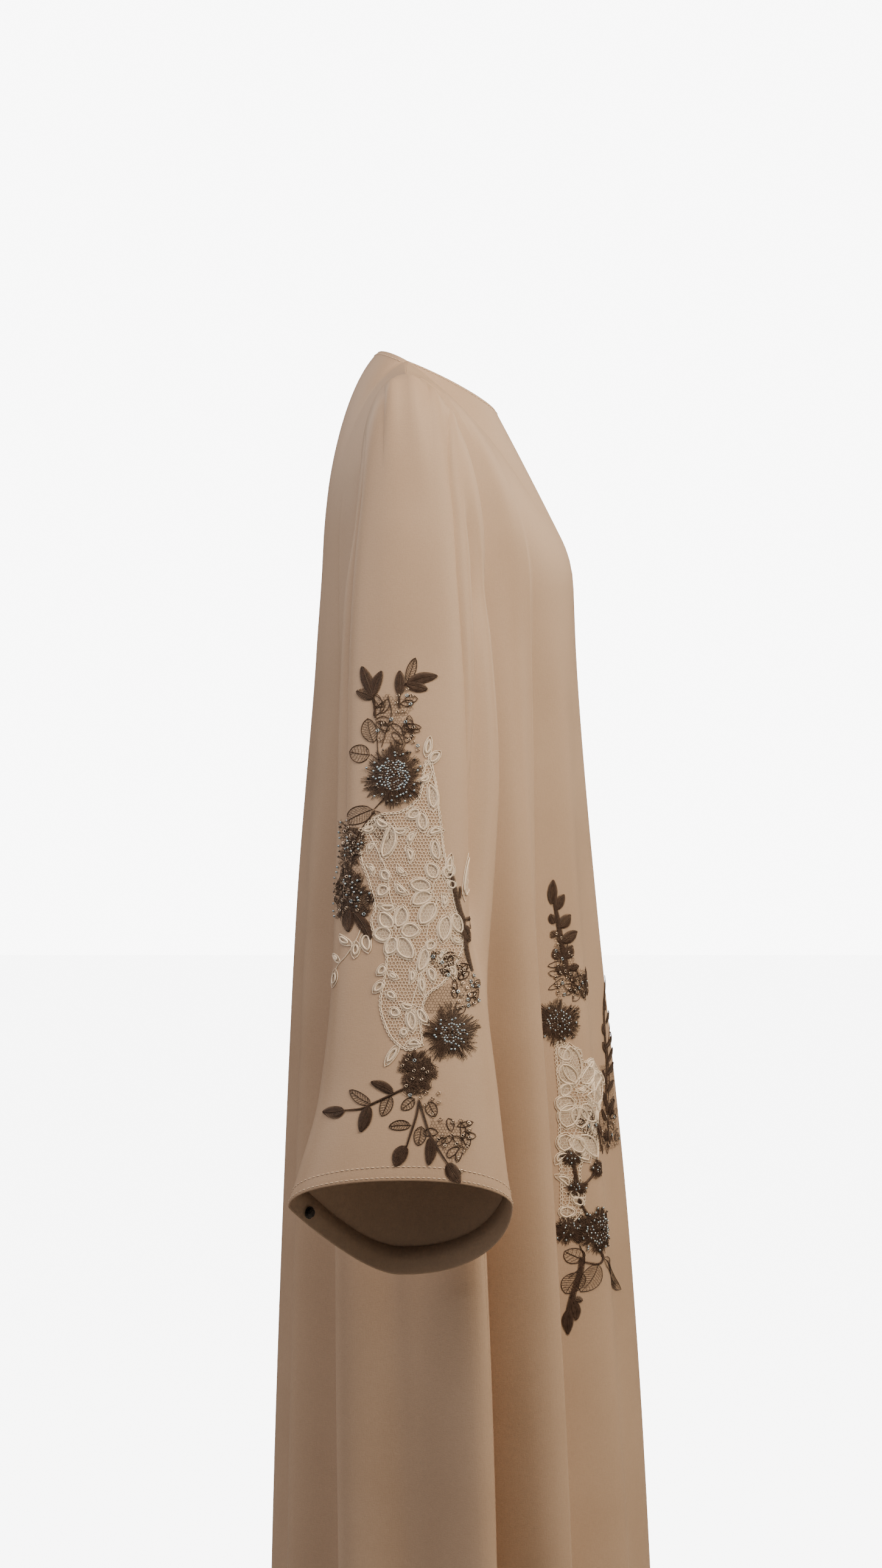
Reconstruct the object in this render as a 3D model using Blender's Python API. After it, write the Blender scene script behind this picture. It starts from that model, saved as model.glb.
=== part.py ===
"""An open-front abaya cloak, worn hollow: back, two fronts, two bell sleeves, and the lace and flower
applique sewn on the sleeves and fronts.

Frame: metres, +Z up. The origin is midway between the side neck points, where the wearer's shoulders hold
the cloak. The wearer faces -Y, and the wearer's right is -X.
"""

import math

import bpy
import numpy as np
from mathutils import Vector
from mathutils.geometry import delaunay_2d_cdt

# ---------------------------------------------------------------- driving dimensions (metres)

CLOTH = 0.0014  # wall of the crepe cloth
SEAM_GAP = 0.0003  # between the body's pieces
ARMHOLE_GAP = 0.0005  # between a sleeve and the body
LENGTH = 1.42  # side neck point to hem

NECK_HALF_WIDTH = 0.068
NECK_FRONT_DEPTH = 0.080  # from the shoulder seam forward to the throat
NECK_FRONT_FALL = 0.39  # height lost for each metre forward
NECK_FRONT_CURVE = 0.75  # and more for its square
NECK_BACK_DEPTH = 0.028
NECK_BACK_RISE = 0.57
SHOULDER_HALF_WIDTH = 0.190
SHOULDER_DROP = 0.030
ARMHOLE_DEPTH = 0.232  # shoulder tip to underarm, measured straight down
ARMHOLE_HALF_DEPTH = 0.050  # front to back
ARMHOLE_FORWARD = 0.028  # underarm ahead of the shoulder tip
ARMHOLE_SPREAD = 0.018  # underarm further out than the shoulder tip
ARMHOLE_BOW = 0.009  # the front and back of the armhole, further out again

# Girth coordinate: 0 at the centre front, 0.5 at the right side seam, 1 at the centre back, then on round
# the left side to 2. These are the columns of cloth that start at each landmark of the top edge.
AT_NECK = 0.131
AT_SHOULDER_TIP = 0.37
AT_SIDE_SEAM = 0.5
FRONT_OPENING = 0.003  # half the gap between the front edges, as girth

SIDE_SEAM = SEAM_GAP / 0.6  # gap at a side seam, as girth

HALF_COLUMNS = (5, 9, 8)  # columns of faces along the neckline, shoulder and armhole
YOKE_ROWS = 5
SKIRT_ROWS = 8
SLEEVE_ROWS = 11
ARMHOLE_POINTS = 2 * HALF_COLUMNS[2]
SLEEVE_COLUMNS_ROUND = 2 * ARMHOLE_POINTS

BODY_COLUMNS = ("drop", "front", "back", "side")
BODY_SECTIONS = (  # horizontal rings: depth below the neck point, front and back y, half width
    (0.140, -0.146, 0.077, 0.197),
    (0.185, -0.151, 0.079, 0.200),
    (0.260, -0.154, 0.084, 0.206),
    (0.500, -0.168, 0.095, 0.226),
    (0.780, -0.190, 0.100, 0.248),
    (1.100, -0.208, 0.104, 0.280),
    (LENGTH, -0.222, 0.110, 0.312),
)

YOKE_COLUMNS = ("girth", "base_drop", "roundness")
YOKE = (  # how each column of cloth leaves the top edge: where it starts to hang, and how it rounds over
    (0.000, 0.174, 0.02),
    (0.060, 0.175, 0.07),
    (0.115, 0.177, 0.22),
    (0.131, 0.178, 0.28),
    (0.250, 0.185, 0.55),
    (0.370, 0.200, 0.90),
    (0.420, 0.260, 0.30),
    (0.500, 0.330, 0.00),
    (0.580, 0.260, 0.30),
    (0.630, 0.170, 0.90),
    (0.750, 0.140, 0.80),
    (0.869, 0.140, 0.70),
    (0.885, 0.140, 0.66),
    (1.000, 0.140, 0.60),
)

FLUTE_COLUMNS = ("girth", "lean", "reach", "tip", "half_width", "starts")
FLUTES = (  # hanging folds: girth at the hem, shift from top to hem, reach, sideways tip, half width, start
    (0.055, 0.000, 0.016, -0.006, 0.070, 0.24),
    (0.200, 0.020, 0.026, -0.012, 0.070, 0.22),
    (0.375, 0.035, 0.036, -0.034, 0.075, 0.15),
    (0.525, 0.030, 0.036, -0.034, 0.070, 0.30),
    (0.655, -0.105, 0.034, 0.034, 0.085, 0.08),
    (0.850, -0.010, 0.022, -0.012, 0.080, 0.30),
    (1.000, 0.000, 0.024, 0.012, 0.070, 0.26),
    (1.160, 0.015, 0.020, 0.012, 0.080, 0.32),
    (1.335, 0.080, 0.032, -0.030, 0.085, 0.10),
    (1.480, -0.020, 0.034, 0.030, 0.070, 0.28),
    (1.630, -0.030, 0.036, 0.032, 0.075, 0.16),
    (1.805, -0.015, 0.024, 0.012, 0.070, 0.24),
    (1.945, 0.000, 0.016, 0.006, 0.070, 0.22),
)

FLUTE_TOP_WIDTH = 0.75  # of its width at the hem
FLUTE_GROWTH = 0.25  # the smaller, the sooner a fold reaches its full depth

SLEEVE_COLUMNS = ("along", "outer_x", "outer_z", "inner_x", "inner_z", "front", "back", "widest", "point")
SLEEVE_SECTIONS = (  # rings of the right sleeve, from the armhole to the cuff
    (0.00, -0.190, -0.030, -0.205, -0.262, -0.062, 0.045, 0.50, 0.0),
    (0.05, -0.220, -0.040, -0.212, -0.285, -0.064, 0.045, 0.50, 0.0),
    (0.11, -0.246, -0.078, -0.221, -0.320, -0.068, 0.047, 0.50, 0.0),
    (0.22, -0.268, -0.150, -0.234, -0.370, -0.074, 0.052, 0.48, 0.0),
    (0.40, -0.300, -0.280, -0.252, -0.450, -0.079, 0.055, 0.45, 0.0),
    (0.57, -0.332, -0.400, -0.268, -0.545, -0.074, 0.056, 0.40, 0.0),
    (0.71, -0.358, -0.500, -0.282, -0.625, -0.067, 0.058, 0.34, 0.1),
    (0.86, -0.385, -0.600, -0.293, -0.705, -0.076, 0.067, 0.30, 0.3),
    (0.96, -0.404, -0.664, -0.300, -0.760, -0.083, 0.083, 0.28, 0.5),
    (1.00, -0.410, -0.687, -0.302, -0.779, -0.087, 0.090, 0.28, 0.6),
)

SLEEVE_SQUARENESS = 0.9  # 1 for an oval section, less for a boxier one
SLEEVE_HEAD = 0.22  # share of the sleeve that still follows the armhole
SLEEVE_SMOOTH_EDGE = 0.04  # share next to the armhole that stays free of folds
SLEEVE_EDGE = 0.97  # of the half width: applique reaches no further round

CREASE_COLUMNS = ("turn", "reach", "half_width", "starts", "full_from", "full_to", "ends")
SLEEVE_CREASES = (  # folds along the right sleeve: gathers over the head, then the long front fold
    (0.955, 0.0030, 0.030, -0.01, 0.01, 0.05, 0.22),
    (0.015, 0.0035, 0.026, -0.01, 0.01, 0.05, 0.24),
    (0.070, 0.0030, 0.024, -0.01, 0.01, 0.06, 0.20),
    (0.120, 0.0035, 0.022, -0.01, 0.01, 0.06, 0.26),
    (0.190, -0.0220, 0.065, 0.08, 0.20, 0.55, 0.76),
    (0.275, 0.0040, 0.060, 0.06, 0.25, 0.50, 0.75),
    (0.850, 0.0050, 0.080, 0.10, 0.40, 0.70, 0.95),
    (0.735, -0.0080, 0.045, 0.10, 0.35, 0.65, 0.95),
)

# ---------------------------------------------------------------- applique (metres, laid flat)

LACE_LIFT = 0.0012  # clear of the cloth's facets
LACE_WALL = 0.0008
LACE_COLUMNS = 7
SPRAY_LIFT = LACE_LIFT + LACE_WALL + 0.0008  # of a spray that crosses lace
EDGE_SPRAY_LIFT = 0.0011
STEM_WIDTH = 0.0024
STEM_STEP = 0.015
LEAF_TUCK = 0.003  # of each leaf, laid back over its stem
LEAF_EDGE = 0.0012  # height of the relief over its underside
LEAF_RIDGE = 0.0020
FLOWER_SHARES = (0.0, 0.30, 0.50, 1.0)  # of the radius
FLOWER_HEIGHTS = (0.0052, 0.0046, 0.0022, 0.0016)
FLOWER_DIP = 0.22  # of the radius, between petals
WELD = 0.00001
ON_MOTIF = 1.01  # share of a motif's radius that its relief covers
HALF_GIRTH = 0.60  # right or left half of the body, measured round it at the height of the applique

# Places are how far forward and how far below. On a sleeve both are measured from the side neck point; on
# a front, forward is measured round the body from the front edge, so it is negative.
# Headings are degrees from forward towards up.
LEAF_COLUMNS = ("forward", "below", "length", "width", "heading")
PATCH_COLUMNS = ("forward", "below", "half_width", "half_height")
FLOWER_COLUMNS = ("forward", "below", "radius", "petals")

SLEEVE_LACE_COLUMNS = ("below", "behind", "before")
SLEEVE_LACE = (
    (0.395, 0.004, 0.029),
    (0.404, -0.022, 0.031),
    (0.430, -0.030, 0.036),
    (0.455, -0.030, 0.044),
    (0.482, -0.021, 0.046),
    (0.508, -0.012, 0.042),
    (0.524, -0.014, 0.030),
    (0.549, -0.016, 0.019),
    (0.568, -0.012, 0.016),
    (0.583, -0.004, 0.012),
)
FRONT_LACE = (
    (0.606, -0.156, -0.122),
    (0.632, -0.160, -0.113),
    (0.660, -0.160, -0.109),
    (0.700, -0.158, -0.112),
    (0.735, -0.150, -0.122),
)

UPPER_SLEEVE = {
    "flowers": ((-0.007, 0.373, 0.0245, 6),),
    "patches": (
        (-0.004, 0.326, 0.017, 0.024),
        (-0.036, 0.430, 0.011, 0.012),
        (-0.037, 0.457, 0.011, 0.015),
        (-0.034, 0.443, 0.010, 0.014),
    ),
    "leaves": (
        (-0.018, 0.306, 0.025, 0.009, 125),
        (-0.018, 0.302, 0.020, 0.009, 95),
        (-0.015, 0.312, 0.021, 0.008, 170),
        (-0.001, 0.302, 0.017, 0.009, 110),
        (0.004, 0.293, 0.017, 0.009, 70),
        (0.006, 0.295, 0.022, 0.009, 20),
        (0.002, 0.305, 0.018, 0.008, 0),
        (-0.015, 0.344, 0.020, 0.013, 155),
        (-0.018, 0.356, 0.022, 0.013, 190),
        (-0.025, 0.408, 0.020, 0.014, 140),
        (-0.026, 0.404, 0.019, 0.014, -40),
        (-0.038, 0.468, 0.029, 0.011, -110),
        (-0.035, 0.472, 0.032, 0.011, -78),
    ),
    "stems": (
        ((-0.006, 0.368), (-0.004, 0.326), (0.000, 0.302), (0.008, 0.284)),
        ((-0.004, 0.330), (-0.014, 0.310), (-0.024, 0.294)),
        ((-0.008, 0.380), (-0.025, 0.405), (-0.038, 0.430), (-0.041, 0.455), (-0.035, 0.482)),
    ),
}
LOWER_SLEEVE = {
    "flowers": ((0.036, 0.577, 0.0235, 5),),
    "patches": (
        (0.033, 0.522, 0.013, 0.011),
        (0.043, 0.543, 0.011, 0.013),
        (0.014, 0.606, 0.014, 0.017),
        (0.036, 0.654, 0.015, 0.015),
    ),
    "leaves": (
        (0.042, 0.482, 0.016, 0.007, 115),
        (0.045, 0.500, 0.013, 0.007, 60),
        (0.044, 0.512, 0.013, 0.007, 140),
        (-0.014, 0.627, 0.018, 0.009, 115),
        (-0.016, 0.628, 0.016, 0.009, -65),
        (-0.029, 0.632, 0.017, 0.009, 135),
        (-0.026, 0.632, 0.018, 0.009, -105),
        (-0.042, 0.634, 0.018, 0.009, 182),
        (0.010, 0.641, 0.022, 0.010, -140),
        (0.016, 0.640, 0.018, 0.010, -90),
        (0.001, 0.657, 0.023, 0.009, -115),
        (0.019, 0.659, 0.019, 0.009, -85),
        (0.036, 0.662, 0.026, 0.010, -65),
    ),
    "stems": (
        ((0.039, 0.452), (0.043, 0.483), (0.045, 0.500), (0.046, 0.528), (0.043, 0.549), (0.036, 0.577)),
        ((0.033, 0.522), (0.046, 0.530)),
        ((0.036, 0.577), (0.014, 0.606), (0.018, 0.629), (0.007, 0.648), (0.000, 0.664)),
        ((0.018, 0.627), (0.020, 0.664)),
        ((0.018, 0.629), (0.034, 0.652), (0.040, 0.676)),
        ((0.014, 0.608), (-0.008, 0.623), (-0.024, 0.630), (-0.048, 0.635)),
    ),
}
FRONT = {
    "flowers": (
        (-0.146, 0.583, 0.020, 5),
        (-0.128, 0.763, 0.022, 6),
    ),
    "patches": (
        (-0.139, 0.548, 0.013, 0.019),
        (-0.130, 0.562, 0.011, 0.012),
        (-0.151, 0.705, 0.010, 0.010),
        (-0.127, 0.714, 0.011, 0.011),
        (-0.142, 0.729, 0.011, 0.011),
    ),
    "leaves": (
        (-0.152, 0.474, 0.019, 0.009, 100),
        (-0.149, 0.490, 0.017, 0.009, 40),
        (-0.147, 0.495, 0.017, 0.009, 150),
        (-0.144, 0.509, 0.017, 0.009, 30),
        (-0.142, 0.516, 0.017, 0.009, 155),
        (-0.140, 0.531, 0.017, 0.009, 20),
        (-0.142, 0.536, 0.018, 0.009, 165),
        (-0.132, 0.780, 0.028, 0.015, -110),
        (-0.124, 0.780, 0.026, 0.014, -72),
        (-0.138, 0.774, 0.026, 0.013, -150),
        (-0.146, 0.812, 0.019, 0.008, -60),
        (-0.153, 0.832, 0.020, 0.008, -105),
    ),
    "stems": (
        ((-0.146, 0.583), (-0.139, 0.545), (-0.141, 0.520), (-0.147, 0.495), (-0.153, 0.470)),
        ((-0.146, 0.583), (-0.141, 0.620), (-0.146, 0.665), (-0.150, 0.705), (-0.142, 0.729)),
        ((-0.142, 0.729), (-0.128, 0.763)),
        ((-0.127, 0.714), (-0.142, 0.729)),
        ((-0.130, 0.768), (-0.138, 0.790), (-0.147, 0.815), (-0.154, 0.838)),
    ),
}
FRONT_EDGE = {
    "flowers": (),
    "patches": (
        (-0.050, 0.668, 0.010, 0.016),
        (-0.051, 0.690, 0.012, 0.016),
    ),
    "leaves": (
        (-0.037, 0.560, 0.018, 0.008, 95),
        (-0.038, 0.576, 0.016, 0.009, 35),
        (-0.039, 0.582, 0.016, 0.009, 145),
        (-0.041, 0.600, 0.016, 0.009, 35),
        (-0.042, 0.606, 0.016, 0.009, 145),
        (-0.043, 0.624, 0.016, 0.009, 35),
        (-0.044, 0.630, 0.016, 0.009, 145),
        (-0.047, 0.646, 0.016, 0.009, 30),
    ),
    "stems": (((-0.036, 0.552), (-0.040, 0.590), (-0.044, 0.630), (-0.050, 0.668), (-0.051, 0.692)),),
}

SNAP_RADIUS = 0.005
SNAP_FLATNESS = 0.45  # thickness over width
SNAP_LIFT = 0.0005
SNAP_TURN = 0.715  # inside the cuff, behind the arm
SNAP_ALONG = 0.984

# ---------------------------------------------------------------- small helpers


def smooth_through(knots, values, x):
    """Monotone cubic curve through the knots, held level beyond both ends."""
    knots, values = np.asarray(knots, float), np.asarray(values, float)
    x = np.clip(x, knots[0], knots[-1])
    step, rise = np.diff(knots), np.diff(values)
    slope = rise / step
    both = slope[:-1] * slope[1:]
    total = slope[:-1] + slope[1:]
    tangent = np.zeros(len(knots))
    tangent[1:-1] = np.where(both > 0, 2 * both / np.where(both > 0, total, 1), 0)
    tangent[0], tangent[-1] = slope[0], slope[-1]
    k = np.clip(np.searchsorted(knots, x, side="right") - 1, 0, len(step) - 1)
    t = (x - knots[k]) / step[k]
    start = values[k] + t * t * (3 - 2 * t) * rise[k]
    return start + step[k] * t * (1 - t) * ((1 - t) * tangent[k] - t * tangent[k + 1])


def column_of(rows, names, name, x):
    """Column `name` of a table, as a smooth function of the table's first column."""
    at = names.index(name)
    return smooth_through([row[0] for row in rows], [row[at] for row in rows], x)


def smooth_step(x):
    t = np.clip(x, 0, 1)
    return t * t * (3 - 2 * t)


def unit(vectors):
    length = np.linalg.norm(vectors, axis=-1, keepdims=True)
    return vectors / np.maximum(length, 1e-9)


# ---------------------------------------------------------------- the body of the cloak


def armhole_curve(turn):
    angle = 2 * np.pi * turn
    down = (1 - np.cos(angle)) / 2
    x = -SHOULDER_HALF_WIDTH - ARMHOLE_SPREAD * down - ARMHOLE_BOW * np.sin(angle) ** 2
    y = -ARMHOLE_FORWARD * down - ARMHOLE_HALF_DEPTH * np.sin(angle)
    z = -SHOULDER_DROP - ARMHOLE_DEPTH * down
    return np.stack([x, y, z], -1)


def armhole(turn):
    """Right armhole: turn 0 at the shoulder tip, 0.25 in front, 0.5 at the underarm, 0.75 behind. It is
    straight between its points, so that the edges of the body and the sleeve keep an even gap."""
    place = np.asarray(turn, float) * ARMHOLE_POINTS
    first = np.floor(place)
    start, end = armhole_curve(first / ARMHOLE_POINTS), armhole_curve((first + 1) / ARMHOLE_POINTS)
    return start + (end - start) * (place - first)[..., None]


def neckline(share, behind):
    """From the throat or nape (share 0) to the side neck point (share 1)."""
    angle = share * np.pi / 2
    y = np.where(behind, NECK_BACK_DEPTH, -NECK_FRONT_DEPTH) * np.cos(angle)
    fall = np.where(behind, NECK_BACK_RISE * y, NECK_FRONT_FALL * y - NECK_FRONT_CURVE * y * y)
    return np.stack([-NECK_HALF_WIDTH * np.sin(angle), y, fall], -1)


def top_edge(girth):
    """The edge that the cloth hangs from, on the right half: girth 0 at the throat, 1 at the nape."""
    girth = np.asarray(girth, float)
    behind = girth > AT_SIDE_SEAM
    from_middle = np.where(behind, 1 - girth, girth)
    neck = neckline(np.clip(from_middle / AT_NECK, 0, 1), behind)
    share = np.clip((from_middle - AT_NECK) / (AT_SHOULDER_TIP - AT_NECK), 0, 1)[..., None]
    neck_point = np.array([-NECK_HALF_WIDTH, 0, 0])
    tip = np.array([-SHOULDER_HALF_WIDTH, 0, -SHOULDER_DROP])
    shoulder = neck_point + (tip - neck_point) * share
    turn = np.clip((from_middle - AT_SHOULDER_TIP) / (AT_SIDE_SEAM - AT_SHOULDER_TIP), 0, 1) / 2
    hole = armhole(np.where(behind, 1 - turn, turn))
    at = from_middle[..., None]
    return np.where(at < AT_NECK, neck, np.where(at < AT_SHOULDER_TIP, shoulder, hole))


def crest(off):
    """A soft ridge: 1 where off is 0, and nothing from 1 on."""
    return np.cos(np.pi / 2 * np.clip(np.abs(off), 0, 1)) ** 2


def fluting(girth, drop):
    """How far the hanging folds stand out of the ring, and how far they tip round it."""
    out = np.zeros(np.broadcast(girth, drop).shape)
    aside = np.zeros(out.shape)
    for at, lean, reach, tip, half_width, starts in FLUTES:
        grown = np.clip((drop - starts) / (LENGTH - starts), 0, 1)
        middle = at - lean * (1 - grown)
        width = half_width * (FLUTE_TOP_WIDTH + (1 - FLUTE_TOP_WIDTH) * grown)
        depth = (1 + FLUTE_GROWTH) * grown**1.5 / (grown**1.5 + FLUTE_GROWTH)
        ridge = depth * crest(((girth - middle + 1) % 2 - 1) / width)
        out = out + reach * ridge
        aside = aside + tip * ridge
    return out[..., None], aside[..., None]


def ring(girth, drop):
    """A point of the horizontal section at a depth below the neck point, folds included."""
    front, back, side = (column_of(BODY_SECTIONS, BODY_COLUMNS, n, drop) for n in BODY_COLUMNS[1:])
    middle, half = (front + back) / 2, (back - front) / 2
    angle = np.pi * girth
    across, forward = -np.sin(angle), -np.cos(angle)
    out, aside = fluting(girth, drop)
    normal = unit(np.stack([across / side, forward / half], -1))
    round_about = np.stack([normal[..., 1], -normal[..., 0]], -1)
    level = np.stack([side * across, middle + half * forward], -1) + out * normal + aside * round_about
    return np.concatenate([level, (-drop + 0 * angle)[..., None]], -1)


def body(girth, down):
    """A point of the outer cloth: girth 0 to 2 round the body, down 0 at the top edge, 1 where the cloth
    starts to hang and 2 at the hem."""
    girth, down = np.broadcast_arrays(np.asarray(girth, float), np.asarray(down, float))
    half_girth = np.where(girth > 1, 2 - girth, girth)
    mirror = np.where(girth > 1, -1.0, 1.0)[..., None] * [1, 0, 0] + [0, 1, 1]
    base_drop = column_of(YOKE, YOKE_COLUMNS, "base_drop", half_girth)
    roundness = column_of(YOKE, YOKE_COLUMNS, "roundness", half_girth)
    seam = np.where(half_girth > AT_SIDE_SEAM, SEAM_GAP / 2, -SEAM_GAP / 2)
    top = top_edge(half_girth) * mirror + seam[..., None] * [0, 1, 0]
    base = ring(girth, base_drop)
    t = np.clip(down, 0, 1)
    out = (1 - roundness) * t + roundness * np.sin(np.pi / 2 * t)
    fall = (1 - roundness) * t + roundness * (1 - np.cos(np.pi / 2 * t))
    yoke = top + (base - top) * np.stack([out, out, fall], -1)
    hang = base_drop + (LENGTH - base_drop) * np.clip(down - 1, 0, 1)
    return np.where(down[..., None] <= 1, yoke, ring(girth, hang))


def body_normal(girth, down):
    """The cloth's outward direction. At the shoulder seam it has no part across the seam, and at the
    armhole it never points to the middle, so that the walls of two pieces can't cross at their seam."""
    step = 1e-3
    along = body(girth + step, down) - body(girth - step, down)
    below = body(girth, np.clip(down + step, 0, 2)) - body(girth, np.clip(down - step, 0, 2))
    normal = unit(np.cross(along, below))
    from_middle = 0.5 - np.abs(np.abs(girth - 1) - 0.5)
    at_top = down == 0
    on_shoulder = at_top & (from_middle >= AT_NECK - step) & (from_middle <= AT_SHOULDER_TIP + step)
    on_armhole = at_top & (from_middle > AT_SHOULDER_TIP + step)
    normal[..., 1] = np.where(on_shoulder, 0, normal[..., 1])
    side = np.where(girth > 1, 1, -1)
    normal[..., 0] = np.where(on_armhole, side * np.maximum(side * normal[..., 0], 0), normal[..., 0])
    return unit(normal)


# ---------------------------------------------------------------- the sleeves


def sleeve_ring(turn, along):
    """A point of the right sleeve's section, before it is fitted to the armhole."""
    values = {n: column_of(SLEEVE_SECTIONS, SLEEVE_COLUMNS, n, along) for n in SLEEVE_COLUMNS[1:]}
    angle = 2 * np.pi * turn
    side, near = np.sin(angle), np.cos(angle)
    widest = values["widest"]
    depth = np.where(near > 0, widest * (1 - np.abs(near)), widest + (1 - widest) * np.abs(near))
    x = values["outer_x"] + depth * (values["inner_x"] - values["outer_x"])
    z = values["outer_z"] + depth * (values["inner_z"] - values["outer_z"])
    middle, half = (values["front"] + values["back"]) / 2, (values["back"] - values["front"]) / 2
    behind_and_under = (side < 0) & (near < 0)
    pointed = np.where(behind_and_under, values["point"], 0)
    spread = (1 - pointed) * np.abs(side) ** SLEEVE_SQUARENESS + pointed * (1 - np.abs(near))
    y = middle - half * np.sign(side) * spread
    return np.stack([x + 0 * y, y, z + 0 * y], -1)


def sleeve_creasing(turn, along):
    """How far the folds stand out of the right sleeve's section."""
    out = np.zeros(np.broadcast(turn, along).shape)
    for at, reach, half_width, starts, full_from, full_to, ends in SLEEVE_CREASES:
        shown = smooth_step((along - starts) / (full_from - starts))
        shown = shown * smooth_step((ends - along) / (ends - full_to))
        out = out + reach * shown * crest(((turn - at + 0.5) % 1 - 0.5) / half_width)
    return out[..., None]


def sleeve(turn, along):
    """A point of the right sleeve's outer cloth: turn 0 over the arm, 0.25 in front, 0.5 under the arm."""
    turn, along = np.broadcast_arrays(np.asarray(turn, float), np.asarray(along, float))
    fitted = 1 - smooth_step(along / SLEEVE_HEAD)
    at_armhole = armhole(turn) - [ARMHOLE_GAP, 0, 0]
    correction = at_armhole - sleeve_ring(turn, np.zeros_like(along))
    bare = sleeve_ring(turn, along) + fitted[..., None] * correction
    middle = (sleeve_ring(turn + 0.5, along) + sleeve_ring(turn, along)) / 2
    outward = unit(sleeve_ring(turn, along) - middle)
    folds = sleeve_creasing(turn, along) * smooth_step(along / SLEEVE_SMOOTH_EDGE)[..., None]
    return bare + folds * outward


def sleeve_normal(turn, along):
    """The sleeve's outward direction, which at the armhole never points away from the body."""
    step = 1e-3
    around = sleeve(turn + step, along) - sleeve(turn - step, along)
    below = sleeve(turn, np.clip(along + step, 0, 1)) - sleeve(turn, np.clip(along - step, 0, 1))
    normal = unit(np.cross(below, around))
    normal[..., 0] = np.where(along == 0, np.maximum(normal[..., 0], 0), normal[..., 0])
    return unit(normal)


# ---------------------------------------------------------------- solids


def clear_scene():
    for obj in list(bpy.data.objects):
        bpy.data.objects.remove(obj)


def material(name, colour, roughness, metallic=0.0):
    made = bpy.data.materials.new(name)
    made.use_nodes = True
    shader = made.node_tree.nodes["Principled BSDF"]
    shader.inputs["Base Color"].default_value = (*colour, 1)
    shader.inputs["Roughness"].default_value = roughness
    shader.inputs["Metallic"].default_value = metallic
    return made


def add_solid(name, points, faces, finish, collection):
    mesh = bpy.data.meshes.new(name)
    mesh.from_pydata([tuple(p) for p in points], [], faces)
    mesh.materials.append(finish)
    mesh.shade_smooth()
    obj = bpy.data.objects.new(name, mesh)
    collection.objects.link(obj)
    return obj


def flipped(faces):
    """The same faces turned over. Each keeps its first corner, so it is still split along the same diagonal."""
    return [[face[0], *face[:0:-1]] for face in faces]


def wall(outer, inner, closed_round):
    """Closed wall between two grids of points, whose rows run down and whose columns run to the left as
    seen from outside: (points, faces). Both sides are split along the same diagonals."""
    rows, columns = outer.shape[:2]
    points = np.concatenate([outer.reshape(-1, 3), inner.reshape(-1, 3)])
    under = rows * columns

    def at(row, column, layer=0):
        return layer * under + row * columns + column % columns

    faces = []
    spans = columns if closed_round else columns - 1
    for row in range(rows - 1):
        for c in range(spans):
            corners = [(row, c), (row, c + 1), (row + 1, c + 1), (row + 1, c)]
            faces.append([at(r, k) for r, k in corners])
            faces += flipped([[at(r, k, 1) for r, k in corners]])
    last, end = rows - 1, columns - 1
    for c in range(spans):
        faces.append([at(0, c, 1), at(0, c + 1, 1), at(0, c + 1), at(0, c)])
        faces.append([at(last, c), at(last, c + 1), at(last, c + 1, 1), at(last, c, 1)])
    if not closed_round:
        for row in range(rows - 1):
            faces.append([at(row, 0), at(row + 1, 0), at(row + 1, 0, 1), at(row, 0, 1)])
            faces.append([at(row, end, 1), at(row + 1, end, 1), at(row + 1, end), at(row, end)])
    return points, faces


def half_girths():
    """Columns from the middle of a front or back to the side seam."""
    neck, shoulder, hole = HALF_COLUMNS
    return np.concatenate(
        [
            np.linspace(0, AT_NECK, neck, endpoint=False),
            np.linspace(AT_NECK, AT_SHOULDER_TIP, shoulder, endpoint=False),
            np.linspace(AT_SHOULDER_TIP, AT_SIDE_SEAM - SIDE_SEAM / 2, hole + 1),
        ]
    )


def right_front_girths():
    """Columns of the right front, from the front edge to the side seam."""
    return np.concatenate([[FRONT_OPENING], half_girths()[1:]])


def left_front_girths():
    return 2 - right_front_girths()[::-1]


def back_girths():
    half = half_girths()
    return np.concatenate([1 - half[::-1], 1 + half[1:]])


def body_rows():
    return np.concatenate([np.linspace(0, 1, YOKE_ROWS, endpoint=False), np.linspace(1, 2, SKIRT_ROWS + 1)])


def add_body_panel(name, girths, finish, collection):
    down, girth = np.meshgrid(body_rows(), girths, indexing="ij")
    outer = body(girth, down)
    inner = outer - CLOTH * body_normal(girth, down)
    points, faces = wall(outer, inner, closed_round=False)
    return add_solid(name, points, faces, finish, collection)


def armhole_turns():
    """Turns of the sleeve's columns, over the arm first, then behind it."""
    return -np.linspace(0, 1, SLEEVE_COLUMNS_ROUND, endpoint=False)


def add_sleeve(name, side, finish, collection):
    along, turn = np.meshgrid(np.linspace(0, 1, SLEEVE_ROWS + 1), armhole_turns(), indexing="ij")
    outer = sleeve(turn, along)
    inner = outer - CLOTH * sleeve_normal(turn, along)
    points, faces = wall(outer, inner, closed_round=True)
    if side > 0:
        points = points * [-1, 1, 1]
        faces = flipped(faces)
    return add_solid(name, points, faces, finish, collection)


# ---------------------------------------------------------------- places on the cloth


def between(grid, row, column):
    """Value at a place between the points of a grid, so that it lies on the grid's own facets."""
    r = np.clip(np.floor(row).astype(int), 0, grid.shape[0] - 2)
    c = np.clip(np.floor(column).astype(int), 0, grid.shape[1] - 2)
    down, over = (row - r)[..., None], (column - c)[..., None]
    upper = grid[r, c] * (1 - over) + grid[r, c + 1] * over
    lower = grid[r + 1, c] * (1 - over) + grid[r + 1, c + 1] * over
    return upper * (1 - down) + lower * down


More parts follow.
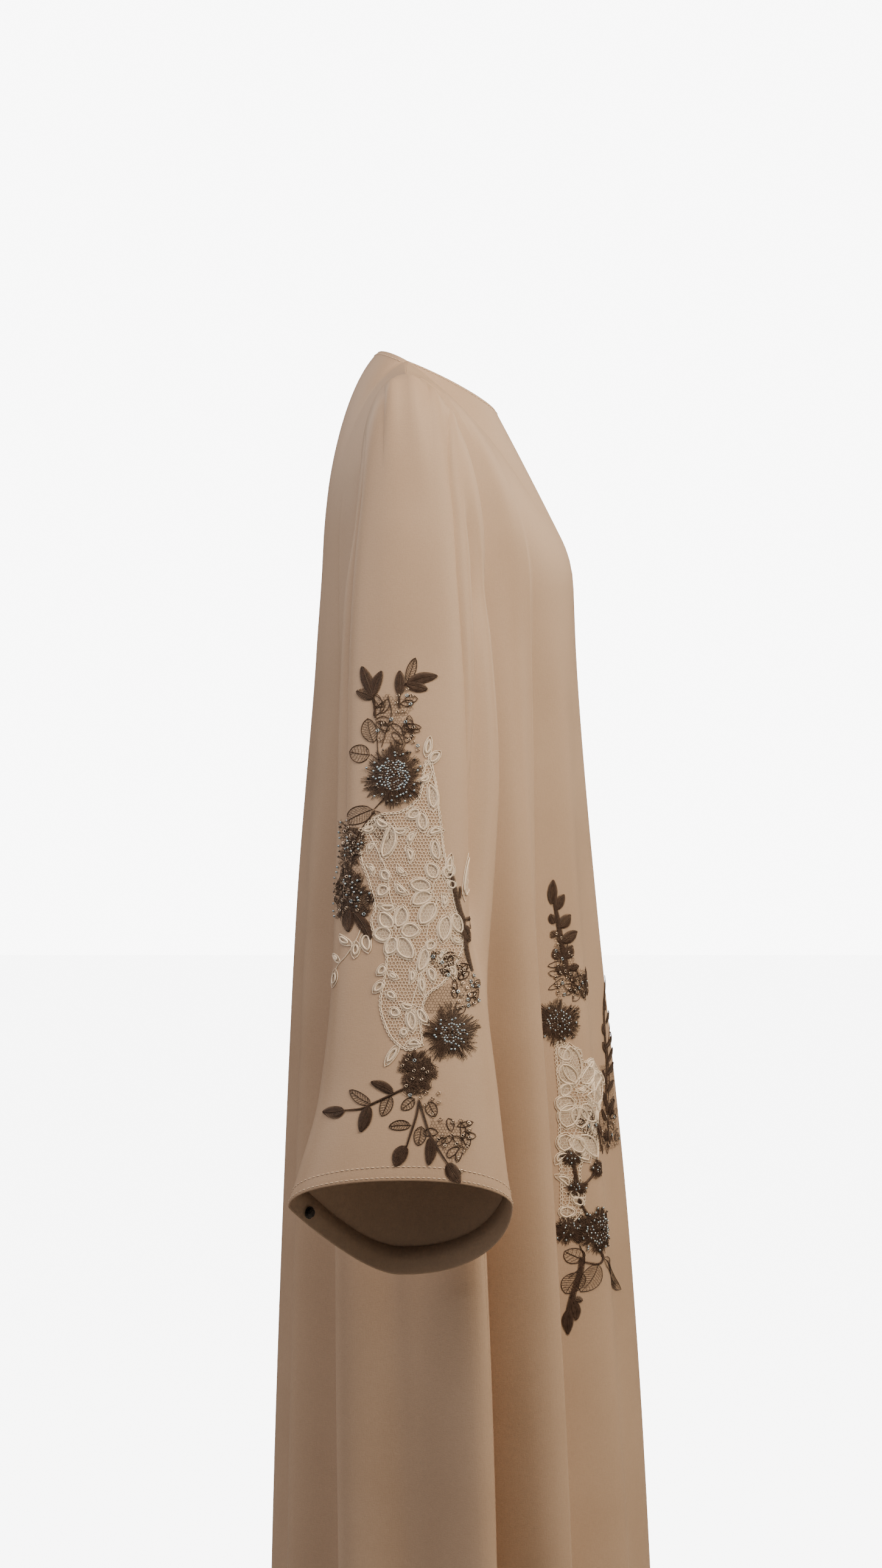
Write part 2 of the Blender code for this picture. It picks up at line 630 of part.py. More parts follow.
def sleeve_turn(forward, along):
    """Turn of the outer cloth that lies this far forward."""
    front, back = (column_of(SLEEVE_SECTIONS, SLEEVE_COLUMNS, n, along) for n in ("front", "back"))
    share = np.clip(((front + back) / 2 + forward) / ((back - front) / 2), -SLEEVE_EDGE, SLEEVE_EDGE)
    return np.arcsin(np.sign(share) * np.abs(share) ** (1 / SLEEVE_SQUARENESS)) / (2 * np.pi)


def sleeve_place(forward, below, height):
    """The point over the outer face of the right sleeve, this far forward and below, and this high."""
    low, high = np.zeros(np.shape(forward)), np.ones(np.shape(forward))
    for _ in range(30):
        along = (low + high) / 2
        above = sleeve(sleeve_turn(forward, along), along)[..., 2] > -below
        low, high = np.where(above, along, low), np.where(above, high, along)
    half_round = SLEEVE_COLUMNS_ROUND // 2
    turns = np.arange(-half_round, half_round + 1) / SLEEVE_COLUMNS_ROUND
    row, column = np.meshgrid(np.linspace(0, 1, SLEEVE_ROWS + 1), turns, indexing="ij")
    at = (along * SLEEVE_ROWS, sleeve_turn(forward, along) * SLEEVE_COLUMNS_ROUND + half_round)
    return between(sleeve(column, row), *at) + height[..., None] * between(sleeve_normal(column, row), *at)


def left_sleeve_place(forward, below, height):
    return sleeve_place(forward, below, height) * [-1, 1, 1]


def front_place(forward, below, height, girths=None):
    """The point over the right front, this far forward round the body, this far below, and this high."""
    girths = right_front_girths() if girths is None else girths
    from_edge = -forward / HALF_GIRTH
    girth = from_edge if girths[0] < 1 else 2 - from_edge
    base_drop = column_of(YOKE, YOKE_COLUMNS, "base_drop", from_edge)
    down = 1 + (below - base_drop) / (LENGTH - base_drop)
    rows = body_rows()
    row, column = np.meshgrid(rows, girths, indexing="ij")
    at = (np.interp(down, rows, np.arange(len(rows))), np.interp(girth, girths, np.arange(len(girths))))
    return between(body(column, row), *at) + height[..., None] * between(body_normal(column, row), *at)


def left_front_place(forward, below, height):
    return front_place(forward, below, height, left_front_girths())


def add_lace(name, rows, place, mirrored, finish, collection):
    """A thin field of lace over the cloth, between the before and behind edges of its rows."""
    across = np.linspace(0, 1, LACE_COLUMNS)
    below = np.array([[row[0]] * LACE_COLUMNS for row in rows])
    forward = np.array([row[2] + (row[1] - row[2]) * across for row in rows])
    outer = place(forward, below, np.full(below.shape, LACE_LIFT + LACE_WALL))
    inner = place(forward, below, np.full(below.shape, LACE_LIFT))
    points, faces = wall(outer, inner, closed_round=False)
    if mirrored:
        faces = flipped(faces)
    return add_solid(name, points, faces, finish, collection)


def turned(points, heading):
    angle = math.radians(heading)
    x, y = points[:, 0], points[:, 1]
    return np.stack(
        [x * math.cos(angle) - y * math.sin(angle), x * math.sin(angle) + y * math.cos(angle)], -1
    )


def oval(spokes):
    angle = 2 * np.pi * np.arange(spokes) / spokes
    return np.stack([np.cos(angle), np.sin(angle)], -1)


def leaf_shape(row):
    """Outline, inner points and relief of a leaf, in flat places (forward, up)."""
    forward, below, length, width, heading = row
    reach = length / 2 - LEAF_TUCK
    half = np.array([length / 2, width / 2])
    centre = turned(np.array([[reach, 0]]), heading)[0] + [forward, -below]

    def relief(points):
        local = turned(points - centre, -heading) / half
        ridge = LEAF_EDGE + (LEAF_RIDGE - LEAF_EDGE) * np.clip(1 - np.abs(local[:, 1]), 0, 1)
        return np.where(np.linalg.norm(local, axis=1) < ON_MOTIF, ridge, 0)

    return centre + turned(oval(6) * half, heading), centre[None, :], relief


def patch_shape(row):
    forward, below, half_width, half_height = row
    centre, half = np.array([forward, -below]), np.array([half_width, half_height])

    def relief(points):
        share = np.linalg.norm((points - centre) / half, axis=1)
        return np.where(share < ON_MOTIF, LEAF_EDGE + (LEAF_RIDGE - LEAF_EDGE) * (1 - share), 0)

    return centre + oval(8) * half, centre[None, :], relief


def flower_shape(row):
    forward, below, radius, petals = row
    centre = np.array([forward, -below])
    round_centre = oval(4 * petals)
    dip = FLOWER_DIP * (1 - np.abs(np.cos(petals * np.pi * np.arange(4 * petals) / (4 * petals))))
    rings = [centre + oval(6) * radius * share for share in FLOWER_SHARES[1:3]]

    def relief(points):
        share = np.linalg.norm(points - centre, axis=1) / radius
        return np.where(share < ON_MOTIF, np.interp(share, FLOWER_SHARES, FLOWER_HEIGHTS), 0)

    inner = np.concatenate([centre[None, :], *rings])
    return centre + round_centre * radius * (1 - dip)[:, None], inner, relief


def stem_shape(route):
    """A strip along the route."""
    route = np.array(route) * [1, -1]
    reach = np.concatenate([[0], np.cumsum(np.linalg.norm(np.diff(route, axis=0), axis=1))])
    at = np.linspace(0, reach[-1], 2 + int(reach[-1] / STEM_STEP))
    line = np.stack([np.interp(at, reach, route[:, k]) for k in (0, 1)], -1)
    heading = unit(np.gradient(line, axis=0))
    aside = np.stack([-heading[:, 1], heading[:, 0]], -1) * STEM_WIDTH / 2
    return np.concatenate([line - aside, (line + aside)[::-1]]), np.empty((0, 2)), None


def add_spray(name, place, lift, mirrored, shapes, finish, collection):
    """One closed low relief: the union of flat shapes, laid over the cloth with a plain underside."""
    points, outlines = [], []
    for outline, inner, _ in shapes:
        outlines.append(list(range(len(points), len(points) + len(outline))))
        points += [*outline, *inner]
    flat = [Vector(point) for point in points]
    flat, _, triangles, *_ = delaunay_2d_cdt(flat, [], outlines, 1, WELD)
    flat = np.array([tuple(point) for point in flat])
    rise = np.full(len(flat), LEAF_EDGE)
    for *_, relief in shapes:
        if relief:
            rise = np.maximum(rise, relief(flat))
    top = place(flat[:, 0], -flat[:, 1], lift + rise)
    underside = place(flat[:, 0], -flat[:, 1], np.full(len(flat), lift))
    count = len(flat)
    faces = [list(face) for face in triangles]
    faces += [[count + k for k in reversed(face)] for face in triangles]
    edges = {(face[k - 1], face[k]) for face in triangles for k in range(len(face))}
    rim = [(start, end) for start, end in edges if (end, start) not in edges]
    faces += [[end, start, count + start, count + end] for start, end in sorted(rim)]
    if mirrored:
        faces = flipped(faces)
    spray = add_solid(name, np.concatenate([top, underside]), faces, finish, collection)
    spray.data.set_sharp_from_angle(angle=math.radians(40))


def add_applique(side, lace, thread, collection):
    mirrored = side == "left"
    on_sleeve = left_sleeve_place if mirrored else sleeve_place
    on_front = left_front_place if mirrored else front_place
    add_lace(f"lace_sleeve_{side}", SLEEVE_LACE, on_sleeve, mirrored, lace, collection)
    add_lace(f"lace_front_{side}", FRONT_LACE, on_front, mirrored, lace, collection)
    sprays = (
        (f"spray_upper_sleeve_{side}", on_sleeve, SPRAY_LIFT, UPPER_SLEEVE),
        (f"spray_lower_sleeve_{side}", on_sleeve, SPRAY_LIFT, LOWER_SLEEVE),
        (f"spray_front_{side}", on_front, SPRAY_LIFT, FRONT),
        (f"spray_edge_{side}", on_front, EDGE_SPRAY_LIFT, FRONT_EDGE),
    )
    for name, place, lift, motifs in sprays:
        shapes = [flower_shape(row) for row in motifs["flowers"]]
        shapes += [patch_shape(row) for row in motifs["patches"]]
        shapes += [leaf_shape(row) for row in motifs["leaves"]]
        shapes += [stem_shape(route) for route in motifs["stems"]]
        add_spray(name, place, lift, mirrored, shapes, thread, collection)


def add_snap(name, side, finish, collection):
    """A faceted snap button on the inside of the cuff."""
    turn, along = np.array(SNAP_TURN), np.array(SNAP_ALONG)
    normal = sleeve_normal(turn, along)
    centre = sleeve(turn, along) - normal * (CLOTH + SNAP_LIFT + SNAP_RADIUS * SNAP_FLATNESS)
    mirror = np.array([1 if side < 0 else -1, 1, 1])
    bpy.ops.mesh.primitive_ico_sphere_add(subdivisions=2, radius=SNAP_RADIUS)
    snap = bpy.context.object
    snap.name = name
    snap.scale = (1, 1, SNAP_FLATNESS)
    snap.rotation_euler = Vector(normal * mirror).to_track_quat("Z", "Y").to_euler()
    snap.location = Vector(centre * mirror)
    snap.data.materials.append(finish)
    for holder in snap.users_collection:
        holder.objects.unlink(snap)
    collection.objects.link(snap)


def main():
    clear_scene()
    cloak = bpy.data.collections.new("abaya_cloak")
    bpy.context.scene.collection.children.link(cloak)
    crepe = material("taupe_crepe", (0.50, 0.36, 0.27), 0.75)
    lace = material("ivory_lace", (0.72, 0.60, 0.49), 0.85)
    thread = material("brown_beaded_lace", (0.07, 0.04, 0.03), 0.45)
    black = material("black_snap", (0.01, 0.01, 0.012), 0.15)
    add_body_panel("front_right", right_front_girths(), crepe, cloak)
    add_body_panel("front_left", left_front_girths(), crepe, cloak)
    add_body_panel("back", back_girths(), crepe, cloak)
    add_sleeve("sleeve_right", -1, crepe, cloak)
    add_sleeve("sleeve_left", 1, crepe, cloak)
    for side in ("right", "left"):
        add_applique(side, lace, thread, cloak)
    add_snap("snap_right", -1, black, cloak)
    add_snap("snap_left", 1, black, cloak)


main()
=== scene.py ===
"""Looks of a taupe crepe abaya cloak that hangs open in front, with bell sleeves and sewn-on
trimming of ivory lace, brown embroidery, ring sequins and beads.

Frame: metres, +Z up. The origin is midway between the side neck points. The wearer faces -Y,
and the wearer's right is -X. Flat places on the cloth are (forward, up), where up is minus the
depth below the neck. Tables of places are in millimetres, forward and below.
"""

import logging
import math
from collections.abc import Callable, Sequence
from dataclasses import dataclass, field
from enum import Enum

import bpy
import numpy as np
from mathutils import Matrix, Vector


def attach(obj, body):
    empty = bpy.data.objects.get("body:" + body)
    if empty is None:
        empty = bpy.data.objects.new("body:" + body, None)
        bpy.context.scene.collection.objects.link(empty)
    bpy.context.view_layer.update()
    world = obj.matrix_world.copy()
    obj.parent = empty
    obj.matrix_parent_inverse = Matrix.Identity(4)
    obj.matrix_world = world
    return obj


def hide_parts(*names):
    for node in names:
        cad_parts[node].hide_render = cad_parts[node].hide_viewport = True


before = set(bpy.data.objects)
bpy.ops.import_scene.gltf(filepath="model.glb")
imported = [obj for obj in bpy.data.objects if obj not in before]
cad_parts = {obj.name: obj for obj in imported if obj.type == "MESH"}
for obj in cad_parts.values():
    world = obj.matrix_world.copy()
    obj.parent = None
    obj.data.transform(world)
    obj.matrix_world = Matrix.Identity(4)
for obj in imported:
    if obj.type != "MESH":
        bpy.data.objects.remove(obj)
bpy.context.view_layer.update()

LOG = logging.getLogger("abaya")
MM = 0.001
STEP = 1e-3  # change of place that slopes are measured over
LINE_GAP = 0.0022  # closer than this, a regular grid line gives way
THREAD, NET = 0, 1  # material slots of thread work

Row = tuple[float, ...]
Rows = tuple[Row, ...]
Headed = tuple[tuple[Row, Rows], ...]
Array = np.ndarray
Object = bpy.types.Object
Material = bpy.types.Material


class Side(Enum):
    """Which half of the cloak a piece belongs to."""

    RIGHT = "right"
    LEFT = "left"

    @property
    def mirrored(self) -> bool:
        """Whether pieces of this side are mirror images of the right ones."""
        return self is Side.LEFT

    @property
    def flip(self) -> Array:
        """What the right side's points are multiplied by."""
        return np.array([-1.0, 1.0, 1.0]) if self.mirrored else np.ones(3)


# ---------------------------------------------------------------- curves and small helpers


def smooth_through(knots: Sequence[float], values: Sequence[float], x: Array) -> Array:
    """Monotone cubic curve through knots, held level beyond both ends.

    Args:
        knots: Rising places.
        values: Value at each knot.
        x: Places to read.

    Returns:
        The curve at x.
    """
    knot, value = np.asarray(knots, float), np.asarray(values, float)
    x = np.clip(x, knot[0], knot[-1])
    step, rise = np.diff(knot), np.diff(value)
    slope = rise / step
    both = slope[:-1] * slope[1:]
    total = slope[:-1] + slope[1:]
    tangent = np.zeros(len(knot))
    tangent[1:-1] = np.where(both > 0, 2 * both / np.where(both > 0, total, 1), 0)
    tangent[0], tangent[-1] = slope[0], slope[-1]
    k = np.clip(np.searchsorted(knot, x, side="right") - 1, 0, len(step) - 1)
    t = (x - knot[k]) / step[k]
    start = value[k] + t * t * (3 - 2 * t) * rise[k]
    return start + step[k] * t * (1 - t) * ((1 - t) * tangent[k] - t * tangent[k + 1])


def column(rows: Rows, index: int, x: Array) -> Array:
    """One column of a table as a smooth function of its first column.

    Args:
        rows: The table.
        index: Column to read.
        x: Values of the first column.

    Returns:
        The column at x.
    """
    return smooth_through([row[0] for row in rows], [row[index] for row in rows], x)


def smooth_step(x: Array) -> Array:
    """Rise softly from 0 to 1 as x goes from 0 to 1."""
    t = np.clip(x, 0, 1)
    return t * t * (3 - 2 * t)


def matched(first: Array, second: Array) -> Sequence[Array]:
    """Two sets of places as arrays of one shape."""
    return np.broadcast_arrays(np.asarray(first, float), np.asarray(second, float))


def folded(girth: Array) -> Array:
    """The same place on the right half of the body."""
    return np.where(girth > 1, 2 - girth, girth)


def unit(vectors: Array) -> Array:
    """Vectors of the same directions and of length 1."""
    return vectors / np.maximum(np.linalg.norm(vectors, axis=-1, keepdims=True), 1e-12)


def crest(off: Array) -> Array:
    """A soft ridge: 1 where off is 0, and nothing from 1 on."""
    return np.cos(np.pi / 2 * np.clip(np.abs(off), 0, 1)) ** 2


def ripple(x: Array, y: Array, seed: float) -> Array:
    """Smooth uneven waves between about -1 and 1.

    Args:
        x: First coordinate, in waves.
        y: Second coordinate, in waves.
        seed: Shifts the pattern.

    Returns:
        The height of the waves.
    """
    wave = np.sin(x + 1.7 * np.sin(0.61 * y + seed) + seed)
    cross = np.sin(0.83 * y + 1.3 * np.sin(0.47 * x - seed) + 2 * seed)
    slow = np.sin(0.37 * x - 0.29 * y + 3 * seed)
    return 0.45 * wave + 0.3 * cross + 0.25 * slow


def heading_of(degrees: float) -> Array:
    """Flat direction, from forward towards up."""
    return np.array([math.cos(math.radians(degrees)), math.sin(math.radians(degrees))])


def along_route(route: Sequence[Sequence[float]], pitch: float) -> Array:
    """Points along a smooth line through the corners of a route.

    Args:
        route: Flat corners.
        pitch: Wanted distance between points.

    Returns:
        Flat points, evenly spaced.
    """
    corners = np.asarray(route, float)
    padded = np.concatenate(
        [[2 * corners[0] - corners[1]], corners, [2 * corners[-1] - corners[-2]]]
    )
    t = np.linspace(0, 1, 12, endpoint=False)[:, None]
    pieces = []
    for a, b, c, d in zip(padded, padded[1:], padded[2:], padded[3:]):
        curve = 2 * b + (c - a) * t + (2 * a - 5 * b + 4 * c - d) * t**2
        curve = curve + (3 * b - a - 3 * c + d) * t**3
        pieces.append(curve / 2)
    line = np.concatenate([*pieces, corners[-1:]])
    reach = np.concatenate([[0], np.cumsum(np.linalg.norm(np.diff(line, axis=0), axis=1))])
    count = max(2, 1 + round(reach[-1] / pitch))
    at = np.linspace(0, reach[-1], count)
    return np.stack([np.interp(at, reach, line[:, k]) for k in (0, 1)], -1)


def closed_round(outline: Sequence[Sequence[float]], pitch: float) -> Array:
    """Points along a smooth closed line through an outline, the first one not repeated."""
    corners = np.asarray(outline, float)
    wrapped = np.concatenate([corners[-2:], corners, corners[:2]])
    line = along_route(wrapped, pitch / 4)
    start = np.argmin(np.linalg.norm(line - corners[0], axis=1)[: len(line) // 2])
    end = len(line) // 2 + np.argmin(np.linalg.norm(line - corners[0], axis=1)[len(line) // 2 :])
    return line[start:end:4]


def inside(outline: Array, points: Array) -> Array:
    """Which points lie inside a flat outline.

    Args:
        outline: Corners (corner, 2).
        points: Places (..., 2).

    Returns:
        True for each place inside.
    """
    x, y = points[..., 0], points[..., 1]
    found = np.zeros(x.shape, bool)
    for (ax, ay), (bx, by) in zip(outline, np.roll(outline, -1, axis=0)):
        crosses = (ay > y) != (by > y)
        rise = by - ay if by != ay else 1e-12
        found ^= crosses & (x < ax + (y - ay) * (bx - ax) / rise)
    return found


def link_mesh(
    name: str, points: Array, faces: list[list[int]], finishes: Sequence[Material]
) -> Object:
    """Make an object of plain arrays.

    Args:
        name: Name of the object.
        points: Corners (point, 3).
        faces: Corner numbers of each face.
        finishes: Materials of its slots.

    Returns:
        The object, at the origin.
    """
    mesh = bpy.data.meshes.new(name)
    mesh.from_pydata(points.tolist(), [], faces)
    for finish in finishes:
        mesh.materials.append(finish)
    made = bpy.data.objects.new(name, mesh)
    bpy.context.scene.collection.objects.link(made)
    return made


def only_active(target: Object) -> None:
    """Deselect everything, then select one object and make it the active one."""
    bpy.ops.object.select_all(action="DESELECT")
    target.select_set(True)
    bpy.context.view_layer.objects.active = target


# ---------------------------------------------------------------- the cloak's surfaces


@dataclass(frozen=True)
class Tuck:
    """A crisp fold: cloth that drops behind an edge and comes back up gradually."""

    edge: Rows  # how far down, and where the edge lies round the cloth
    towards: int  # the tucked side of the edge: -1 for smaller places, 1 for larger ones
    depth: float
    reach: float  # how far round the cloth takes to come back up
    shown: tuple[float, float, float, float]  # starts, full from, full to, ends
    period: float = 4.0  # place at which the cloth meets itself
    spread: float = 0.09  # how far round the grid gives way to follow the edge
    shoulder: float = 0.004  # how far the edge itself has rounded inwards
    steepness: float = 0.055  # share of its reach over which the cloth drops
    easing: float = 1.7  # how soon it comes back up

    def fading(self, down: Array) -> Array:
        """Share of its depth that it has this far down."""
        starts, full_from, full_to, ends = self.shown
        return smooth_step(
            (down - starts) / (full_from - starts)
        ) * smooth_step((ends - down) / (ends - full_to))

    def off_edge(self, place: Array, down: Array) -> Array:
        """Distance round the cloth from its edge, in its own direction."""
        off = place - column(self.edge, 1, down)
        return self.towards * ((off + self.period / 2) % self.period - self.period / 2)

    def lift(self, place: Array, down: Array) -> Array:
        """How far it moves the cloth outwards."""
        share = self.off_edge(place, down) / self.reach
        before = self.shoulder * np.clip(1 + 2 * np.minimum(share, 0), 0, 1) ** 2
        drop = (self.depth - self.shoulder) * smooth_step(share / self.steepness)
        return -self.fading(down) * (before + drop) * np.clip(
            1 - np.maximum(share, 0), 0, 1
        ) ** self.easing

    @property
    def middle(self) -> float:
        """Place that its grid lines are laid at."""
        return float(np.mean([row[1] for row in self.edge]))

    def lines(self) -> Array:
        """Places of close grid lines on both sides of the edge."""
        shares = np.array([-0.12, -0.05, -0.015, 0.0, 0.015, 0.03, 0.045, 0.06, 0.10, 0.16, 0.24])
        return self.middle + self.towards * self.reach * shares

    def drift(self, place: Array, down: Array) -> Array:
        """How far grid lines shift to follow the edge."""
        near = (place - self.middle + self.period / 2) % self.period - self.period / 2
        return (
            column(self.edge, 1, down) - self.middle
        ) * np.clip(1 - np.abs(near) / self.spread, 0, 1)


def woven_lines(regular: Array, close: Array) -> Array:
    """Regular grid lines with close ones let in, where regular ones that come too near give way.

    Args:
        regular: Rising places, the first and the last of which stay.
        close: Places of close lines.

    Returns:
        Rising places.
    """
    close = close[(close > regular[0] + STEP) & (close < regular[-1] - STEP)]
    if not len(close):
        return regular
    gap = np.abs(regular[:, None] - close[None, :]).min(1)
    kept = gap > LINE_GAP
    kept[[0, -1]] = True
    return np.sort(np.concatenate([regular[kept], close]))


@dataclass(frozen=True)
class CloakBody:
    """Outer cloth of the body. Girth is 0 at the centre front, 0.5 at the right side seam, 1 at
    the centre back and 2 back at the front. Down is 0 at the top edge, 1 where the cloth starts
    to hang and 2 at the hem.
    """

    length: float = 1.42
    neck_half_width: float = 0.068
    neck_front_depth: float = 0.080
    neck_front_fall: float = 0.39
    neck_front_curve: float = 0.75
    neck_back_depth: float = 0.028
    neck_back_rise: float = 0.57
    shoulder_half_width: float = 0.190
    shoulder_drop: float = 0.030
    armhole_depth: float = 0.232
    armhole_half_depth: float = 0.050
    armhole_forward: float = 0.028
    armhole_spread: float = 0.018
    armhole_bow: float = 0.009
    at_neck: float = 0.131
    at_shoulder_tip: float = 0.37
    at_side_seam: float = 0.5
    front_opening: float = 0.003
    side_gap: float = -0.0004
    seam_gap: float = -0.0002
    flute_top_width: float = 0.75
    flute_growth: float = 0.25
    sections: Rows = (  # depth below the neck point, front, back, half width
        (0.140, -0.146, 0.077, 0.197),
        (0.185, -0.151, 0.079, 0.200),
        (0.260, -0.154, 0.084, 0.206),
        (0.500, -0.168, 0.095, 0.226),
        (0.780, -0.190, 0.100, 0.248),
        (1.100, -0.208, 0.104, 0.280),
        (1.420, -0.222, 0.110, 0.312),
    )
    yoke: Rows = (  # girth, where the cloth starts to hang, how it rounds over
        (0.000, 0.174, 0.02),
        (0.060, 0.175, 0.07),
        (0.115, 0.177, 0.22),
        (0.131, 0.178, 0.28),
        (0.250, 0.185, 0.55),
        (0.370, 0.200, 0.90),
        (0.420, 0.260, 0.30),
        (0.500, 0.330, 0.00),
        (0.580, 0.260, 0.30),
        (0.630, 0.170, 0.90),
        (0.750, 0.140, 0.80),
        (0.869, 0.140, 0.70),
        (0.885, 0.140, 0.66),
        (1.000, 0.140, 0.60),
    )
    flutes: Rows = (  # girth at the hem, shift on the way, reach, tip, half width, start
        (0.055, 0.000, 0.016, -0.006, 0.070, 0.24),
        (0.195, 0.020, 0.020, -0.002, 0.075, 0.22),
        (0.385, 0.035, 0.030, -0.016, 0.080, 0.15),
        (0.525, 0.030, 0.036, -0.034, 0.070, 0.30),
        (0.640, -0.105, 0.030, 0.008, 0.085, 0.08),
        (0.850, -0.010, 0.022, -0.012, 0.080, 0.30),
        (1.000, 0.000, 0.024, 0.012, 0.070, 0.26),
        (1.160, 0.015, 0.020, 0.012, 0.080, 0.32),
        (1.350, 0.080, 0.030, -0.010, 0.085, 0.10),
        (1.480, -0.020, 0.034, 0.030, 0.070, 0.28),
        (1.620, -0.030, 0.030, 0.016, 0.080, 0.16),
        (1.805, -0.015, 0.020, 0.004, 0.070, 0.24),
        (1.945, 0.000, 0.016, 0.006, 0.070, 0.22),
    )
    soft_waves: float = 0.0012  # uneven hang of the cloth between its folds
    bend_round: float = 0.020  # how far each way the bend into the hanging part is rounded
    bend_weights: Rows = ((-1.0, 0.17), (-0.5, 0.22), (0.0, 0.22), (0.5, 0.22), (1.0, 0.17))
    tucks: tuple[Tuck, ...] = (  # depth below the neck point, girth of the edge
        Tuck(
            (
                (0.20, 0.290), (0.30, 0.288), (0.40, 0.292), (0.54, 0.300), (0.67, 0.310),
                (0.82, 0.318), (1.01, 0.323), (1.42, 0.335)
            ),
            towards=-1, depth=0.062, reach=0.205,
            shown=(0.14, 0.85, 1.5, 1.6), shoulder=0.006,
        ),
        Tuck(
            ((0.50, 0.478), (0.80, 0.472), (1.42, 0.468)),
            towards=-1, depth=0.048, reach=0.130,
            shown=(0.45, 0.85, 1.5, 1.6), spread=0.02, shoulder=0.003,
        ),
        Tuck(
            (
                (0.17, 0.815), (0.23, 0.800), (0.33, 0.770), (0.47, 0.745), (0.76, 0.725),
                (0.92, 0.717), (1.01, 0.713), (1.42, 0.700)
            ),
            towards=1, depth=0.044, reach=0.150,
            shown=(0.10, 0.70, 1.5, 1.6), spread=0.13, shoulder=0.005,
        ),
    )

    def armhole(self, turn: Array) -> Array:
        """Right armhole, from the shoulder tip forwards and round: the underarm is at turn 0.5."""
        angle = 2 * np.pi * np.asarray(turn, float)
        down = (1 - np.cos(angle)) / 2
        x = -self.shoulder_half_width - self.armhole_spread * down
        x = x - self.armhole_bow * np.sin(angle) ** 2
        y = -self.armhole_forward * down - self.armhole_half_depth * np.sin(angle)
        return np.stack([x, y, -self.shoulder_drop - self.armhole_depth * down], -1)

    def neckline(self, share: Array, behind: Array) -> Array:
        """Neck edge, from the throat or nape (share 0) to the side neck point (share 1)."""
        angle = share * np.pi / 2
        y = np.where(behind, self.neck_back_depth, -self.neck_front_depth) * np.cos(angle)
        front = self.neck_front_fall * y - self.neck_front_curve * y * y
        fall = np.where(behind, self.neck_back_rise * y, front)
        return np.stack([-self.neck_half_width * np.sin(angle), y, fall], -1)

    def top_edge(self, girth: Array) -> Array:
        """The edge that the right half hangs from: neck, shoulder seam and half the armhole."""
        behind = girth > self.at_side_seam
        from_middle = np.where(behind, 1 - girth, girth)
        neck = self.neckline(np.clip(from_middle / self.at_neck, 0, 1), behind)
        run = (from_middle - self.at_neck) / (self.at_shoulder_tip - self.at_neck)
        neck_point = np.array([-self.neck_half_width, 0, 0])
        tip = np.array([-self.shoulder_half_width, 0, -self.shoulder_drop])
        shoulder = neck_point + (tip - neck_point) * np.clip(run, 0, 1)[..., None]
        half_turn = (from_middle - self.at_shoulder_tip) / (
            self.at_side_seam - self.at_shoulder_tip
        )
        turn = np.clip(half_turn, 0, 1) / 2
        hole = self.armhole(np.where(behind, 1 - turn, turn))
        at = from_middle[..., None]
        return np.where(
            at < self.at_neck, neck, np.where(at < self.at_shoulder_tip, shoulder, hole)
        )

    def fluting(self, girth: Array, drop: Array) -> tuple[Array, Array]:
        """How far the hanging folds stand out, and how far they tip sideways.

        Args:
            girth: Place round the body.
            drop: Depth below the neck point.

        Returns:
            Reach outwards and reach sideways, in metres.
        """
        out = np.zeros(np.broadcast(girth, drop).shape)
        aside = np.zeros(out.shape)
        for at, lean, reach, tip, half_width, starts in self.flutes:
            grown = np.clip((drop - starts) / (self.length - starts), 0, 1)
            middle = at - lean * (1 - grown)
            width = half_width * (self.flute_top_width + (1 - self.flute_top_width) * grown)
            depth = (1 + self.flute_growth) * grown**1.5 / (grown**1.5 + self.flute_growth)
            ridge = depth * crest(((girth - middle + 1) % 2 - 1) / width)
            out = out + reach * ridge
            aside = aside + tip * ridge
        waves = ripple(38 * girth, 9 * drop, 0.7) * smooth_step((drop - 0.1) / 0.5)
        half_girth = folded(girth)
        tucked = sum(tuck.lift(half_girth, drop) for tuck in self.tucks)
        return (out + self.soft_waves * waves + tucked)[..., None], aside[..., None]

    def follow(self, girth: Array, down: Array) -> Array:
        """Girth of grid lines that follow the crisp folds.

        Args:
            girth: Girth of each line where it starts.
            down: 0 at the top edge to 2 at the hem.

        Returns:
            Girths.
        """
        half_girth = folded(girth)
        yoke_depth = column(self.yoke, 1, half_girth)
        drop = yoke_depth + (self.length - yoke_depth) * np.clip(down - 1, 0, 1)
        grown = smooth_step((down - 0.7) / 0.3)
        moved = half_girth + grown * sum(tuck.drift(half_girth, drop) for tuck in self.tucks)
        return np.where(girth > 1, 2 - moved, moved)

    def ring(self, girth: Array, drop: Array) -> Array:
        """A point of the level section at a depth below the neck point, folds included."""
        front, back, side = (column(self.sections, k, drop) for k in (1, 2, 3))
        middle, half = (front + back) / 2, (back - front) / 2
        angle = np.pi * girth
        across, forward = -np.sin(angle), -np.cos(angle)
        out, aside = self.fluting(girth, drop)
        normal = unit(np.stack([across / side, forward / half], -1))
        round_about = np.stack([normal[..., 1], -normal[..., 0]], -1)
        level = np.stack(
            [side * across, middle + half * forward], -1
        ) + out * normal + aside * round_about
        return np.concatenate([level, (-drop + 0 * angle)[..., None]], -1)

